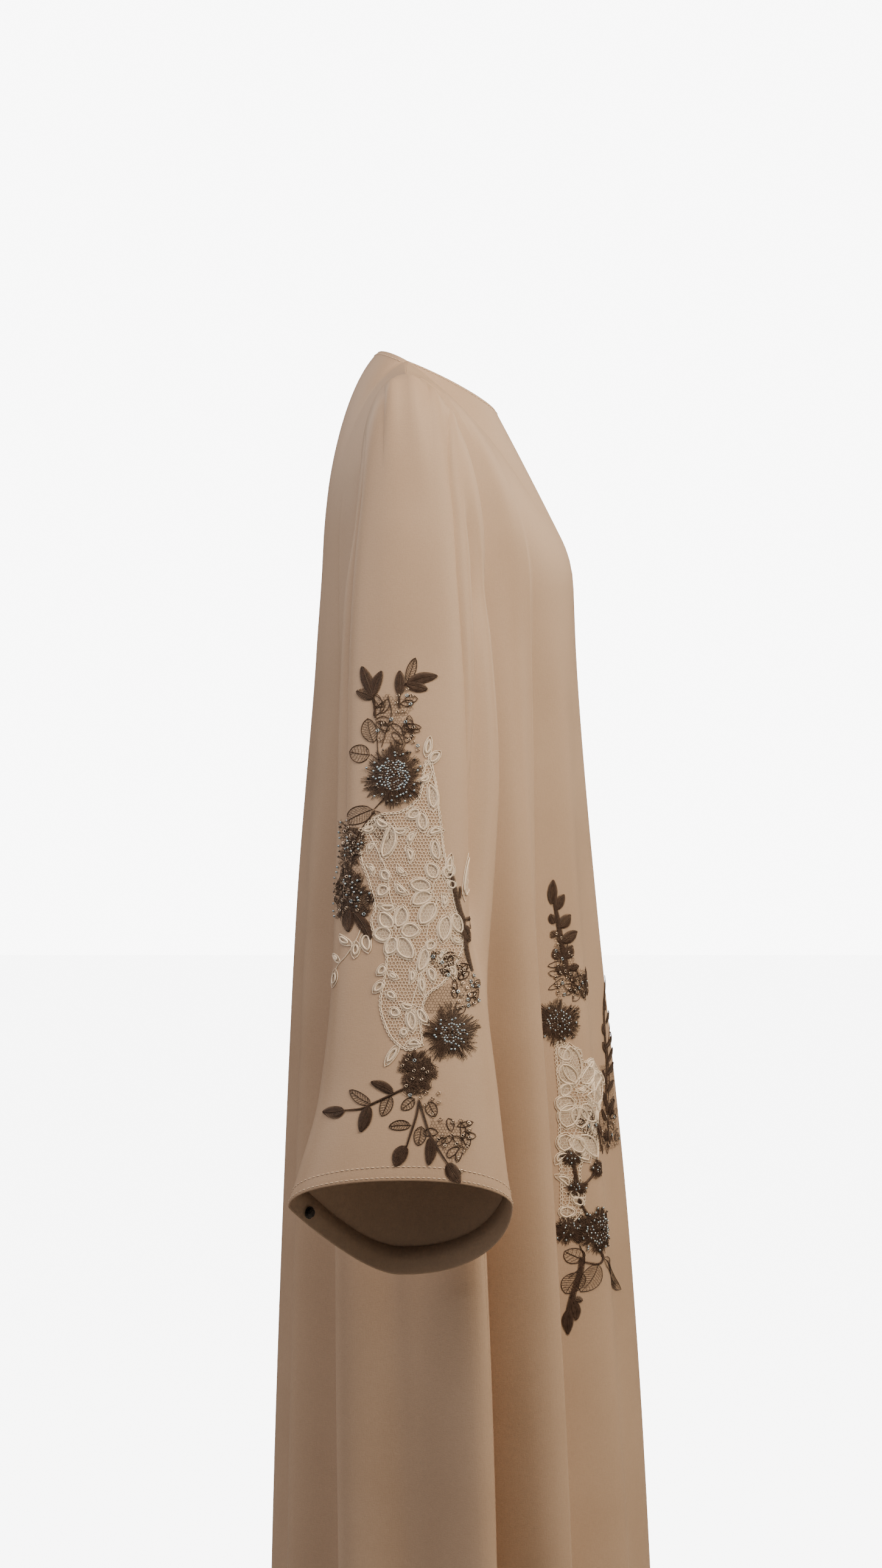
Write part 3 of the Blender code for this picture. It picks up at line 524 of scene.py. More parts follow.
    def surface(self, girth: Array, down: Array) -> Array:
        """Points of the outer cloth, softly rounded where it starts to hang.

        Args:
            girth: 0 to 2 round the body.
            down: 0 at the top edge, 1 where the cloth starts to hang, 2 at the hem.

        Returns:
            Points (..., 3).
        """
        girth, down = matched(girth, down)
        half_girth = folded(girth)
        yoke_depth = column(self.yoke, 1, half_girth)
        from_bend = np.where(
            down < 1, (down - 1) * yoke_depth, (down - 1) * (self.length - yoke_depth)
        )
        near = self.bend_round * np.clip(1.6 - np.abs(from_bend) / self.bend_round, 0, 1)
        total = 0.0
        for share, weight in self.bend_weights:
            moved = from_bend + share * near
            at = 1 + np.where(moved < 0, moved / yoke_depth, moved / (self.length - yoke_depth))
            total = total + weight * self.hung(girth, np.clip(at, 0, 2))
        return total

    def hung(self, girth: Array, down: Array) -> Array:
        """Points of the outer cloth before its bends are rounded.

        Args:
            girth: 0 to 2 round the body.
            down: 0 at the top edge, 1 where the cloth starts to hang, 2 at the hem.

        Returns:
            Points (..., 3).
        """
        girth, down = matched(girth, down)
        half_girth = folded(girth)
        mirror = np.where(girth > 1, -1.0, 1.0)[..., None] * [1, 0, 0] + [0, 1, 1]
        base_drop = column(self.yoke, 1, half_girth)
        roundness = column(self.yoke, 2, half_girth)
        seam = np.where(half_girth > self.at_side_seam, self.seam_gap / 2, -self.seam_gap / 2)
        top = self.top_edge(half_girth) * mirror + seam[..., None] * [0, 1, 0]
        base = self.ring(girth, base_drop)
        t = np.clip(down, 0, 1)
        out = (1 - roundness) * t + roundness * np.sin(np.pi / 2 * t)
        fall = (1 - roundness) * t + roundness * (1 - np.cos(np.pi / 2 * t))
        yoke = top + (base - top) * np.stack([out, out, fall], -1)
        hang = base_drop + (self.length - base_drop) * np.clip(down - 1, 0, 1)
        return np.where(down[..., None] <= 1, yoke, self.ring(girth, hang))

    def normal(self, girth: Array, down: Array) -> Array:
        """Outward direction of the cloth. At the shoulder seam it has no part across the seam,
        and at the armhole none towards the middle, so that pieces can't cross where they meet.

        Args:
            girth: 0 to 2 round the body.
            down: 0 at the top edge to 2 at the hem.

        Returns:
            Unit directions (..., 3).
        """
        girth, down = matched(girth, down)
        along = self.surface(girth + STEP, down) - self.surface(girth - STEP, down)
        lower, upper = np.clip(down + STEP, 0, 2), np.clip(down - STEP, 0, 2)
        normal = unit(np.cross(along, self.surface(girth, lower) - self.surface(girth, upper)))
        from_middle = 0.5 - np.abs(np.abs(girth - 1) - 0.5)
        at_top = np.clip(1 - down / 0.03, 0, 1)
        on_shoulder = (from_middle >= self.at_neck - STEP) & (
            from_middle <= self.at_shoulder_tip + STEP
        )
        on_armhole = from_middle > self.at_shoulder_tip + STEP
        normal[..., 1] = normal[..., 1] * (1 - at_top * on_shoulder)
        side = np.where(girth > 1, 1, -1)
        outward = side * np.maximum(side * normal[..., 0], 0)
        normal[..., 0] = np.where(
            on_armhole, normal[..., 0] + at_top * (outward - normal[..., 0]), normal[..., 0]
        )
        return unit(normal)


@dataclass(frozen=True)
class BellSleeve:
    """Outer cloth of the right sleeve. Turn is 0 over the arm, 0.25 in front, 0.5 under it and
    0.75 behind. Along is 0 at the armhole and 1 at the cuff.
    """

    body: CloakBody
    armhole_gap: float = -0.0002
    squareness: float = 0.9
    head: float = 0.22  # share that still follows the armhole
    smooth_edge: float = 0.04
    face_edge: float = 0.97  # trimming reaches no further round
    sections: Rows = (  # along, outer x, outer z, inner x, inner z, front, back, widest, point
        (0.00, -0.190, -0.030, -0.205, -0.262, -0.062, 0.045, 0.50, 0.0),
        (0.05, -0.220, -0.040, -0.212, -0.285, -0.064, 0.045, 0.50, 0.0),
        (0.11, -0.246, -0.078, -0.221, -0.320, -0.064, 0.047, 0.50, 0.0),
        (0.22, -0.268, -0.150, -0.234, -0.370, -0.069, 0.052, 0.48, 0.0),
        (0.40, -0.300, -0.280, -0.252, -0.450, -0.075, 0.055, 0.45, 0.0),
        (0.57, -0.332, -0.400, -0.268, -0.545, -0.070, 0.056, 0.40, 0.0),
        (0.71, -0.358, -0.500, -0.282, -0.625, -0.067, 0.058, 0.34, 0.1),
        (0.86, -0.385, -0.600, -0.293, -0.705, -0.076, 0.067, 0.30, 0.3),
        (0.96, -0.404, -0.664, -0.300, -0.760, -0.083, 0.083, 0.28, 0.5),
        (1.00, -0.410, -0.687, -0.302, -0.779, -0.087, 0.090, 0.28, 0.6),
    )
    creases: Rows = (  # turn, reach, half width, starts, full from, full to, ends
        (0.955, 0.0030, 0.030, -0.01, 0.01, 0.05, 0.22),
        (0.015, 0.0035, 0.026, -0.01, 0.01, 0.05, 0.24),
        (0.070, 0.0030, 0.024, -0.01, 0.01, 0.06, 0.20),
        (0.120, 0.0035, 0.022, -0.01, 0.01, 0.06, 0.26),
        (0.190, -0.0220, 0.065, 0.08, 0.20, 0.55, 0.76),
        (0.275, 0.0040, 0.060, 0.06, 0.25, 0.50, 0.75),
        (0.850, 0.0050, 0.080, 0.10, 0.40, 0.70, 0.95),
        (0.735, -0.0080, 0.045, 0.10, 0.35, 0.65, 0.95),
    )
    soft_waves: float = 0.0009
    tucks: tuple[Tuck, ...] = (  # along, turn of the edge
        Tuck(
            (
                (0.00, 0.112), (0.07, 0.101), (0.17, 0.086), (0.25, 0.087), (0.32, 0.091),
                (0.457, 0.108), (0.51, 0.120), (0.62, 0.135), (0.80, 0.150)
            ),
            towards=1, depth=0.011, reach=0.080,
            shown=(0.02, 0.12, 0.52, 0.74), period=1.0, spread=0.10, shoulder=0.003,
        ),
        Tuck(
            (
                (0.03, -0.138), (0.12, -0.147), (0.28, -0.155), (0.44, -0.152), (0.60, -0.149),
                (0.80, -0.150)
            ),
            towards=-1, depth=0.010, reach=0.070,
            shown=(0.02, 0.16, 0.55, 0.75), period=1.0, spread=0.05, shoulder=0.003,
        ),
        Tuck(
            ((0.02, 0.050), (0.20, 0.046)),
            towards=1, depth=0.0022, reach=0.040,
            shown=(0.002, 0.02, 0.04, 0.15), period=1.0, spread=0.02, shoulder=0.0008,
        ),
        Tuck(
            ((0.02, -0.060), (0.20, -0.066)),
            towards=-1, depth=0.0022, reach=0.040,
            shown=(0.002, 0.02, 0.04, 0.17), period=1.0, spread=0.02, shoulder=0.0008,
        ),
    )

    def section(self, turn: Array, along: Array) -> Array:
        """A point of the sleeve's section, before it is fitted to the armhole."""
        outer_x, outer_z, inner_x, inner_z, front, back, widest, point = (
            column(self.sections, k, along) for k in range(1, 9)
        )
        angle = 2 * np.pi * turn
        side, near = np.sin(angle), np.cos(angle)
        depth = np.where(
            near > 0, widest * (1 - np.abs(near)), widest + (1 - widest) * np.abs(near)
        )
        x = outer_x + depth * (inner_x - outer_x)
        z = outer_z + depth * (inner_z - outer_z)
        middle, half = (front + back) / 2, (back - front) / 2
        pointed = np.where((side < 0) & (near < 0), point, 0)
        spread = (1 - pointed) * np.abs(side) ** self.squareness + pointed * (1 - np.abs(near))
        y = middle - half * np.sign(side) * spread
        return np.stack([x + 0 * y, y, z + 0 * y], -1)

    def creasing(self, turn: Array, along: Array) -> Array:
        """How far the folds stand out of the section."""
        out = np.zeros(np.broadcast(turn, along).shape)
        for at, reach, half_width, starts, full_from, full_to, ends in self.creases:
            shown = smooth_step((along - starts) / (full_from - starts))
            shown = shown * smooth_step((ends - along) / (ends - full_to))
            out = out + reach * shown * crest(((turn - at + 0.5) % 1 - 0.5) / half_width)
        angle = 2 * np.pi * turn
        uneven = ripple(4 * np.sin(angle) + 9 * along, 3.5 * np.cos(angle) - 4 * along, 1.9)
        tucked = sum(tuck.lift(turn, along) for tuck in self.tucks)
        return (out + self.soft_waves * uneven * smooth_step(along / 0.3) + tucked)[..., None]

    def follow(self, turn: Array, along: Array) -> Array:
        """Turn of grid lines that follow the crisp folds."""
        return turn + smooth_step(along / 0.08) * sum(
            tuck.drift(turn, along) for tuck in self.tucks
        )

    def surface(self, turn: Array, along: Array) -> Array:
        """Points of the outer cloth.

        Args:
            turn: Place round the sleeve.
            along: 0 at the armhole, 1 at the cuff.

        Returns:
            Points (..., 3).
        """
        turn, along = matched(turn, along)
        fitted = 1 - smooth_step(along / self.head)
        at_armhole = self.body.armhole(turn) - [self.armhole_gap, 0, 0]
        correction = at_armhole - self.section(turn, np.zeros_like(along))
        bare = self.section(turn, along) + fitted[..., None] * correction
        middle = (self.section(turn + 0.5, along) + self.section(turn, along)) / 2
        outward = unit(self.section(turn, along) - middle)
        folds = self.creasing(turn, along) * smooth_step(along / self.smooth_edge)[..., None]
        return bare + folds * outward

    def normal(self, turn: Array, along: Array) -> Array:
        """Outward direction of the cloth, which at the armhole never points away from the body.

        Args:
            turn: Place round the sleeve.
            along: 0 at the armhole, 1 at the cuff.

        Returns:
            Unit directions (..., 3).
        """
        turn, along = matched(turn, along)
        around = self.surface(turn + STEP, along) - self.surface(turn - STEP, along)
        lower, upper = np.clip(along + STEP, 0, 1), np.clip(along - STEP, 0, 1)
        normal = unit(np.cross(self.surface(turn, lower) - self.surface(turn, upper), around))
        at_top = np.clip(1 - along / 0.01, 0, 1)
        kept = np.maximum(normal[..., 0], 0)
        normal[..., 0] = normal[..., 0] + at_top * (kept - normal[..., 0])
        return unit(normal)

    def turn_at(self, forward: Array, along: Array) -> Array:
        """Turn of the outer cloth that lies this far forward."""
        front, back = column(self.sections, 5, along), column(self.sections, 6, along)
        share = ((front + back) / 2 + forward) / ((back - front) / 2)
        share = np.clip(share, -self.face_edge, self.face_edge)
        return np.arcsin(np.sign(share) * np.abs(share) ** (1 / self.squareness)) / (2 * np.pi)


# ---------------------------------------------------------------- cloth panels


@dataclass(frozen=True)
class TurnedEdge:
    """An edge of cloth turned under: a small round fold and an allowance that lies inside."""

    allowance: float
    radius: float = 0.00075

    def lines(self) -> list[tuple[float, float]]:
        """Grid lines from the allowance's end to the face: (way in from the edge, depth)."""
        flat = [(self.allowance, 2 * self.radius), (self.allowance / 2, 2 * self.radius)]
        turns = [k * math.pi / 4 for k in range(5)]
        fold = [(self.radius * (1 - math.sin(a)), self.radius * (1 + math.cos(a))) for a in turns]
        return flat + fold


@dataclass(frozen=True)
class Axis:
    """Grid lines of a panel in one direction."""

    at: Array  # place of each line on the surface
    way: Array  # and how far it lies in from that place, in metres
    depth: Array  # and how far under the face

    @staticmethod
    def between(regular: Array, start: TurnedEdge | None, end: TurnedEdge | None) -> "Axis":
        """Lines across a panel.

        Args:
            regular: Places of the face's own lines, edges included.
            start: Finish of the first edge, or None for a plain one.
            end: Finish of the last edge.

        Returns:
            All lines, allowances included.
        """
        places = [(value, 0.0, 0.0) for value in regular]
        if start:
            places = [(regular[0], way, depth) for way, depth in start.lines()] + places[1:]
        if end:
            places = places[:-1] + [
                (regular[-1], -way, depth) for way, depth in reversed(end.lines())
            ]
        return Axis(*np.array(places).T)


Surface = Callable[[Array, Array], Array]


@dataclass(frozen=True)
class ClothPanel:
    """One cut piece of cloth, laid over a surface as a thin shell with its edges turned under."""

    name: str
    surface: Surface
    normal: Surface
    across: Axis
    down: Axis
    thickness: float = 0.0006
    follow: Surface | None = None  # how the lines across run on down the cloth
    tube: bool = False  # the last line across meets the first
    mirrored: bool = False

    def layout(self) -> Array:
        """Points of the face and its allowances (row, column, 3)."""
        v, u = np.meshgrid(self.down.at, self.across.at, indexing="ij")
        u = self.follow(u, v) if self.follow else u
        wide = np.linalg.norm(
            self.surface(u + STEP, v) - self.surface(u - STEP, v), axis=-1
        ) / (2 * STEP)
        inner, outer = np.clip(v + STEP, 0, None), np.clip(v - STEP, 0, None)
        tall = np.linalg.norm(
            self.surface(u, inner) - self.surface(u, outer), axis=-1
        ) / (inner - outer)
        u = u + self.across.way[None, :] / np.maximum(wide, 1e-3)
        v = v + self.down.way[:, None] / np.maximum(tall, 1e-3)
        depth = self.across.depth[None, :] + self.down.depth[:, None]
        points = self.surface(u, v) - depth[..., None] * self.normal(u, v)
        return points * [-1, 1, 1] if self.mirrored else points

    def build(self, finish: Material) -> Object:
        """Lay a grid over the surface and give it its thickness.

        Args:
            finish: Material of the cloth.

        Returns:
            The panel.
        """
        points = self.layout()
        if self.mirrored:
            points = points[:, ::-1]
        rows, columns = points.shape[:2]
        bpy.ops.object.select_all(action="DESELECT")
        bpy.ops.mesh.primitive_grid_add(x_subdivisions=columns - 1, y_subdivisions=rows - 1, size=1)
        panel = bpy.context.object
        panel.name = panel.data.name = self.name
        panel.data.vertices.foreach_set("co", points.reshape(-1))
        panel.data.update()
        if self.tube:
            bpy.ops.object.mode_set(mode="EDIT")
            bpy.ops.mesh.select_all(action="SELECT")
            bpy.ops.mesh.remove_doubles(threshold=1e-6)
            bpy.ops.object.mode_set(mode="OBJECT")
        shell = panel.modifiers.new("thickness", "SOLIDIFY")
        shell.thickness = self.thickness
        shell.offset = -1
        bpy.ops.object.modifier_apply(modifier=shell.name)
        bpy.ops.object.shade_smooth()
        panel.data.materials.append(finish)
        LOG.info("%s: %d faces", self.name, len(panel.data.polygons))
        return panel


# ---------------------------------------------------------------- places on the cloth


@dataclass(frozen=True)
class ClothFace:
    """Points and outward directions over one face of the worn cloth, by flat place."""

    forward: Array
    below: Array
    points: Array
    normals: Array
    mirrored: bool

    def at(self, flat: Array, height: Array | float) -> tuple[Array, Array]:
        """Places over the cloth.

        Args:
            flat: Flat places (..., 2).
            height: How high over the cloth.

        Returns:
            Points and outward directions (..., 3).
        """
        row = np.interp(-flat[..., 1], self.below, np.arange(len(self.below)))
        col = np.interp(flat[..., 0], self.forward, np.arange(len(self.forward)))
        r = np.clip(np.floor(row).astype(int), 0, len(self.below) - 2)
        c = np.clip(np.floor(col).astype(int), 0, len(self.forward) - 2)
        down, over = (row - r)[..., None], (col - c)[..., None]

        def mixed(grid: Array) -> Array:
            """Value between the four points of the grid round each place."""
            upper = grid[r, c] * (1 - over) + grid[r, c + 1] * over
            lower = grid[r + 1, c] * (1 - over) + grid[r + 1, c + 1] * over
            return upper * (1 - down) + lower * down

        normal = unit(mixed(self.normals))
        return mixed(self.points) + np.asarray(height)[..., None] * normal, normal

    @staticmethod
    def of_sleeve(sleeve: BellSleeve, side: Side) -> "ClothFace":
        """The outer face of a sleeve, where forward and below are measured straight."""
        forward, below = np.arange(-0.066, 0.0741, 0.002), np.arange(0.27, 0.70, 0.002)
        down, ahead = np.meshgrid(below, forward, indexing="ij")
        low, high = np.zeros(down.shape), np.ones(down.shape)
        for _ in range(16):
            along = (low + high) / 2
            above = sleeve.surface(sleeve.turn_at(ahead, along), along)[..., 2] > -down
            low, high = np.where(above, along, low), np.where(above, high, along)
        turn = sleeve.turn_at(ahead, along)
        points, normals = sleeve.surface(turn, along), sleeve.normal(turn, along)
        return ClothFace(forward, below, points * side.flip, normals * side.flip, side.mirrored)

    @staticmethod
    def of_front(body: CloakBody, side: Side, half_girth: float = 0.60) -> "ClothFace":
        """A front, where forward is measured round the body from its edge, so it is negative."""
        forward, below = np.arange(-0.20, -0.0019, 0.002), np.arange(0.36, 0.90, 0.002)
        down, ahead = np.meshgrid(below, forward, indexing="ij")
        from_edge = -ahead / half_girth
        base_drop = column(body.yoke, 1, from_edge)
        hang = 1 + (down - base_drop) / (body.length - base_drop)
        girth = 2 - from_edge if side.mirrored else from_edge
        return ClothFace(
            forward, below, body.surface(girth, hang), body.normal(girth, hang), side.mirrored
        )


# ---------------------------------------------------------------- thread work


class Ply(Enum):
    """Section of a thread: how many sides its tube has."""

    FINE = 3
    CORD = 4


@dataclass
class ThreadWork:
    """Threads laid on a cloth face and made into one mesh of thin closed tubes."""

    name: str
    face: ClothFace
    finishes: Sequence[Material]
    seed: int
    net_height: float = 0.00012
    net_waver: float = 0.22  # share of a cell by which the net's threads stray
    squash: float = 0.85  # height of a thread for its width
    tip: float = 0.6  # share of its radius at both ends
    runs: list[tuple[Array, Array, float, Ply, int]] = field(default_factory=list)
    chance: np.random.Generator = field(init=False)

    def __post_init__(self) -> None:
        """Start the seeded choice of small differences."""
        self.chance = np.random.default_rng(self.seed)

    def lay(
        self,
        flat: Array,
        height: Array | float,
        radius: float,
        ply: Ply = Ply.FINE,
        finish: int = THREAD,
    ) -> None:
        """Add threads that all have the same number of points.

        Args:
            flat: Places (thread, point, 2).
            height: Height of the thread's underside over the cloth, by thread and point or for all.
            radius: Radius of the threads.
            ply: Section.
            finish: Number of the material slot.
        """
        if len(flat):
            count, points = flat.shape[:2]
            height = np.broadcast_to(height, (count, points))
            self.runs.append((flat, height, radius, ply, finish))

    def cord(self, line: Array, height: float, radius: float) -> None:
        """Lay one cord along a flat line."""
        self.lay(line[None], height, radius, Ply.CORD)

    def loop(self, outline: Array, height: float, radius: float) -> None:
        """Lay one cord round a closed flat line."""
        self.cord(np.concatenate([outline, outline[:1]]), height, radius)

    def net(
        self, outline: Array, cell: tuple[float, float], radius: float, finish: int = THREAD
    ) -> None:
        """Fill an outline with six-sided net.

        Args:
            outline: Flat corners.
            cell: Width and height of a cell.
            radius: Radius of its threads.
            finish: Number of the material slot.
        """
        wide, tall = cell
        low, high = outline.min(0), outline.max(0)
        rows = int((high[1] - low[1]) / (0.75 * tall)) + 3
        columns = int((high[0] - low[0]) / wide) + 3
        j, i = np.meshgrid(np.arange(-1, rows), np.arange(-1, columns), indexing="ij")
        centre = np.stack(
            [low[0] + (i + (j % 2) / 2) * wide, low[1] + 0.75 * tall * j], -1
        ).reshape(-1, 2)
        corners = [(0, tall / 2), (wide / 2, tall / 4), (wide / 2, -tall / 4), (0, -tall / 2)]
        edges = [np.stack([centre + a, centre + b], 1) for a, b in zip(corners, corners[1:])]
        threads = np.concatenate(edges)
        shift = np.stack(
            [
                ripple(threads[..., 0] * 2.1 / wide, threads[..., 1] * 1.9 / tall, 0.4),
                ripple(threads[..., 1] * 2.3 / tall, threads[..., 0] * 1.7 / wide, 1.3),
            ],
            -1,
        )
        threads = threads + self.net_waver * wide * shift
        kept = inside(outline, threads.mean(1))
        self.lay(threads[kept], self.net_height, radius, finish=finish)

    def build(self) -> Object:
        """Make one mesh of all the threads.

        Returns:
            The piece, with its material slots.
        """
        points, faces, slots, shift = [], [], [], 0
        for flat, height, radius, ply, finish in self.runs:
            sides = ply.value
            count, length = flat.shape[:2]
            centre, normal = self.face.at(flat, height + self.squash * radius)
            heading = unit(np.gradient(centre, axis=1))
            across = unit(np.cross(normal, heading))
            lift = np.cross(heading, across)
            turn = 2 * np.pi * (np.arange(sides) + 0.25 * (sides == 3)) / sides
            reach = np.ones((count, length))
            reach[:, 0] = reach[:, -1] = self.tip
            reach = (reach * radius)[:, :, None, None]
            sideways = np.cos(turn)[:, None] * across[:, :, None]
            around = sideways + self.squash * np.sin(turn)[:, None] * lift[:, :, None]
            points.append((centre[:, :, None] + reach * around).reshape(-1, 3))
            first = shift + np.arange(count)[:, None, None] * length * sides
            station = np.arange(length - 1)[None, :, None] * sides
            k = np.arange(sides)[None, None, :]
            here, beside = first + station + k, first + station + (k + 1) % sides
            wall = np.stack([here, beside, beside + sides, here + sides], -1).reshape(-1, 4)
            ends = first[:, 0] + np.arange(sides)[None, :]
            caps = np.concatenate([ends[:, ::-1], ends + (length - 1) * sides])
            for group in (wall, caps):
                ordered = group[:, ::-1] if self.face.mirrored else group
                faces += ordered.tolist()
                slots += [finish] * len(ordered)
            shift += count * length * sides
        made = link_mesh(self.name, np.concatenate(points), faces, self.finishes)
        made.data.polygons.foreach_set("material_index", slots)
        made.data.update()
        LOG.info("%s: %d faces", self.name, len(faces))
        return made


# ---------------------------------------------------------------- motifs

@dataclass(frozen=True)
class LeafForm:
    """Flat form of a leaf or petal, in metres."""

    base: Array
    length: float
    width: float
    heading: float
    bend: float = 0.0

    @staticmethod
    def of(row: Row, bend: float = 0.0) -> "LeafForm":
        """Form of a plan's row, in millimetres: forward, below, length, width and heading."""
        forward, below, length, width, heading = row
        return LeafForm(np.array([forward, -below]) * MM, length * MM, width * MM, heading, bend)

    def at(self, along: Array, aside: Array) -> Array:
        """Flat places by share of the length and of the half width.

        Args:
            along: 0 at the base, 1 at the tip.
            aside: -1 at the right edge, 1 at the left one.

        Returns:
            Places (..., 2).
        """
        along, aside = matched(along, aside)
        swell = np.sin(np.pi * np.clip(along, 0, 1) ** 0.92) ** 0.60
        ahead = heading_of(self.heading)
        left = np.array([-ahead[1], ahead[0]])
        sway = self.bend * self.length * np.sin(np.pi * along)
        reach = aside * swell * self.width / 2 + sway
        return self.base + along[..., None] * self.length * ahead + reach[..., None] * left

    def outline(self, points: int) -> Array:
        """Places round the edge, from the base round to the base again."""
        half = points // 2
        along = np.concatenate(
            [np.linspace(0, 1, half, endpoint=False), np.linspace(1, 0, half, endpoint=False)]
        )
        return self.at(along, np.repeat([1.0, -1.0], half))


@dataclass(frozen=True)
class Bloom:
    """Size of a flower of radiating threads."""

    centre: Array
    radius: float
    petals: int
    threads: int
    stretch: float = 1.0
    dome: float = 0.0016
    dip: float = 0.30
    turned: float = 0.4

    def reach(self, angle: Array) -> Array:
        """Radius of the petals' edge at an angle."""
        lobes = np.abs(np.cos(self.petals * (angle - self.turned) / 2))
        uneven = 1 + 0.05 * np.sin(3.1 * angle + self.radius * 900)
        return self.radius * (1 - self.dip * (1 - lobes**0.7)) * uneven


@dataclass(frozen=True)
class Embroiderer:
    """Hand that sews motifs with one work of thread. Radii, pitches and cells are in metres."""

    work: ThreadWork
    lift: float = 0.00015
    satin_pitch: float = 0.00086
    satin_radius: float = 0.00048
    cord_radius: float = 0.00034
    vein_radius: float = 0.00020
    vein_pitch: float = 0.0024
    leaf_cell: tuple[float, float] = (0.0023, 1.15 * 0.0023)
    leaf_net_radius: float = 0.00010
    petal_pitch: float = 0.0010
    petal_radius: float = 0.00020
    petal_band: float = 0.0014  # breadth of a petal's woven border
    least_petal: float = 0.0045  # a narrower petal keeps the border of this width
    scallop_pitch: float = 0.0034
    scallop_radius: float = 0.0004
    scallop_depth: float = 0.45  # share of its width
    edge_radius: float = 0.00045
    stem_slant: float = 0.0005
    stem_pitch: float = 0.0015
    scribble_radius: float = 0.00036
    tuft_radius: float = 0.00034
    flower_radius: float = 0.00029
    flower_cell: tuple[float, float] = (0.0024, 0.0026)
    flower_net_radius: float = 0.00012

    def satin_leaf(self, form: LeafForm) -> None:
        """Solid leaf of slanting stitches on both sides of its midrib."""
        count = max(6, int(form.length / self.satin_pitch))
        along = (np.arange(count) + 0.3) / count
        for side in (-1, 1):
            slant = np.clip(along + 0.10, 0, 0.995)
            inner = form.at(along, np.full(count, 0.04 * side))
            middle = form.at((along + slant) / 2, np.full(count, 0.55 * side))
            outer = form.at(slant, np.full(count, float(side)))
            stitches = np.stack([inner, middle, outer], 1)
            height = self.lift + np.array([0.00055, 0.00050, 0.0])
            self.work.lay(stitches, height, self.satin_radius)
        spine = form.at(np.linspace(-0.02, 0.96, 7), np.zeros(7))
        self.work.cord(spine, self.lift + 0.0007, 0.8 * self.satin_radius)

    def veined_leaf(self, form: LeafForm) -> None:
        """Sheer leaf: a corded edge, a midrib and veins over fine net."""
        outline = form.outline(20)
        self.work.net(outline, self.leaf_cell, self.leaf_net_radius)
        self.work.loop(outline, self.lift, self.cord_radius)
        midrib = form.at(np.linspace(-0.04, 0.97, 8), np.zeros(8))
        self.work.cord(midrib, self.lift, 0.9 * self.cord_radius)
        pairs = max(4, int(form.length / self.vein_pitch))
        start = np.linspace(0.10, 0.80, pairs)
        for side in (-1, 1):
            share = np.array([0.0, 0.5, 0.94])
            along = start[:, None] + 0.13 * share + 0.03 * share**2
            aside = np.broadcast_to(share * side, along.shape)
            self.work.lay(form.at(along, aside), self.lift, self.vein_radius)

    def lined_petal(self, form: LeafForm) -> None:
        """Petal with a broad woven border, and fine threads that run along its middle."""
        lines = max(3, int(form.width / self.petal_pitch))
        aside = np.linspace(-0.66, 0.66, lines)
        along = np.broadcast_to(np.linspace(0.12, 0.88, 4), (lines, 4))
        self.work.lay(form.at(along, aside[:, None]), self.lift, self.petal_radius)
        outline = form.outline(16)
        middle = form.at(np.array(0.5), np.array(0.0))
        self.work.loop(outline, self.lift, 1.3 * self.cord_radius)
        share = 1 - 2 * self.petal_band / max(form.width, self.least_petal)
        inner = middle + (outline - middle) * share
        self.work.loop(inner, self.lift, 2.6 * self.cord_radius)

    def lace_edge(self, outline: Array) -> None:
        """Corded lace edge with small scallops along its outside."""
        self.work.loop(outline, self.lift, self.edge_radius)
        turn = np.linspace(0, np.pi, 5)
        line = along_route(np.concatenate([outline, outline[:1]]), self.scallop_pitch)
        for a, b in zip(line, line[1:]):
            middle, across = (a + b) / 2, (b - a)[::-1] * [1, -1]
            out = across * (1 if inside(outline, middle - across * 0.3) else -1)
            bow = np.outer(np.sin(turn), out * self.scallop_depth)
            arc = middle + np.outer(np.cos(turn), (a - b) / 2) + bow
            self.work.cord(arc, self.lift, self.scallop_radius)

    def strew_petals(self, outline: Array, taken: Sequence[Array], apart: float) -> None:
        """Small petals over a lace ground, wherever there is room between the others.

        Args:
            outline: Flat corners of the ground.
            taken: Flat middles of the petals there already.
            apart: Least distance between middles.
        """
        low, high = outline.min(0), outline.max(0)
        chance, kept = self.work.chance, list(taken)
        for centre in low + (high - low) * chance.random((700, 2)):
            turn, length = 360 * chance.random(), 0.010 + 0.007 * chance.random()
            if inside(outline, centre) and all(
                np.linalg.norm(centre - other) > apart for other in kept
            ):
                kept.append(centre)
                form = LeafForm(
                    centre - heading_of(turn) * length / 2, length, 0.38 * length, turn, 0.15
                )
                self.lined_petal(form)

    def satin_stem(self, route: Sequence[Sequence[float]], width: float) -> None:
        """Stem of close cross stitches that tapers at its end.

        Args:
            route: Corners (forward, below) in millimetres.
            width: Width of the stem.
        """
        line = along_route(np.array(route) * [MM, -MM], self.satin_pitch)
        ahead = unit(np.gradient(line, axis=0))
        left = np.stack([-ahead[:, 1], ahead[:, 0]], -1)
        tapered = np.interp(np.arange(len(line)), [0, 0.7 * len(line), len(line)], [1, 0.9, 0.45])
        reach = (width / 2 * tapered)[:, None]
        slant = ahead * self.stem_slant
        stitches = np.stack([line - reach * left - slant, line, line + reach * left + slant], 1)
        height = self.lift + np.array([0.0, 0.0005, 0.0])
        self.work.lay(stitches, height, self.satin_radius)

    def cord_stem(self, route: Sequence[Sequence[float]], radius: float = 0.0004) -> None:
        """Thin corded stem along corners (forward, below) in millimetres."""
        self.work.cord(along_route(np.array(route) * [MM, -MM], self.stem_pitch), self.lift, radius)

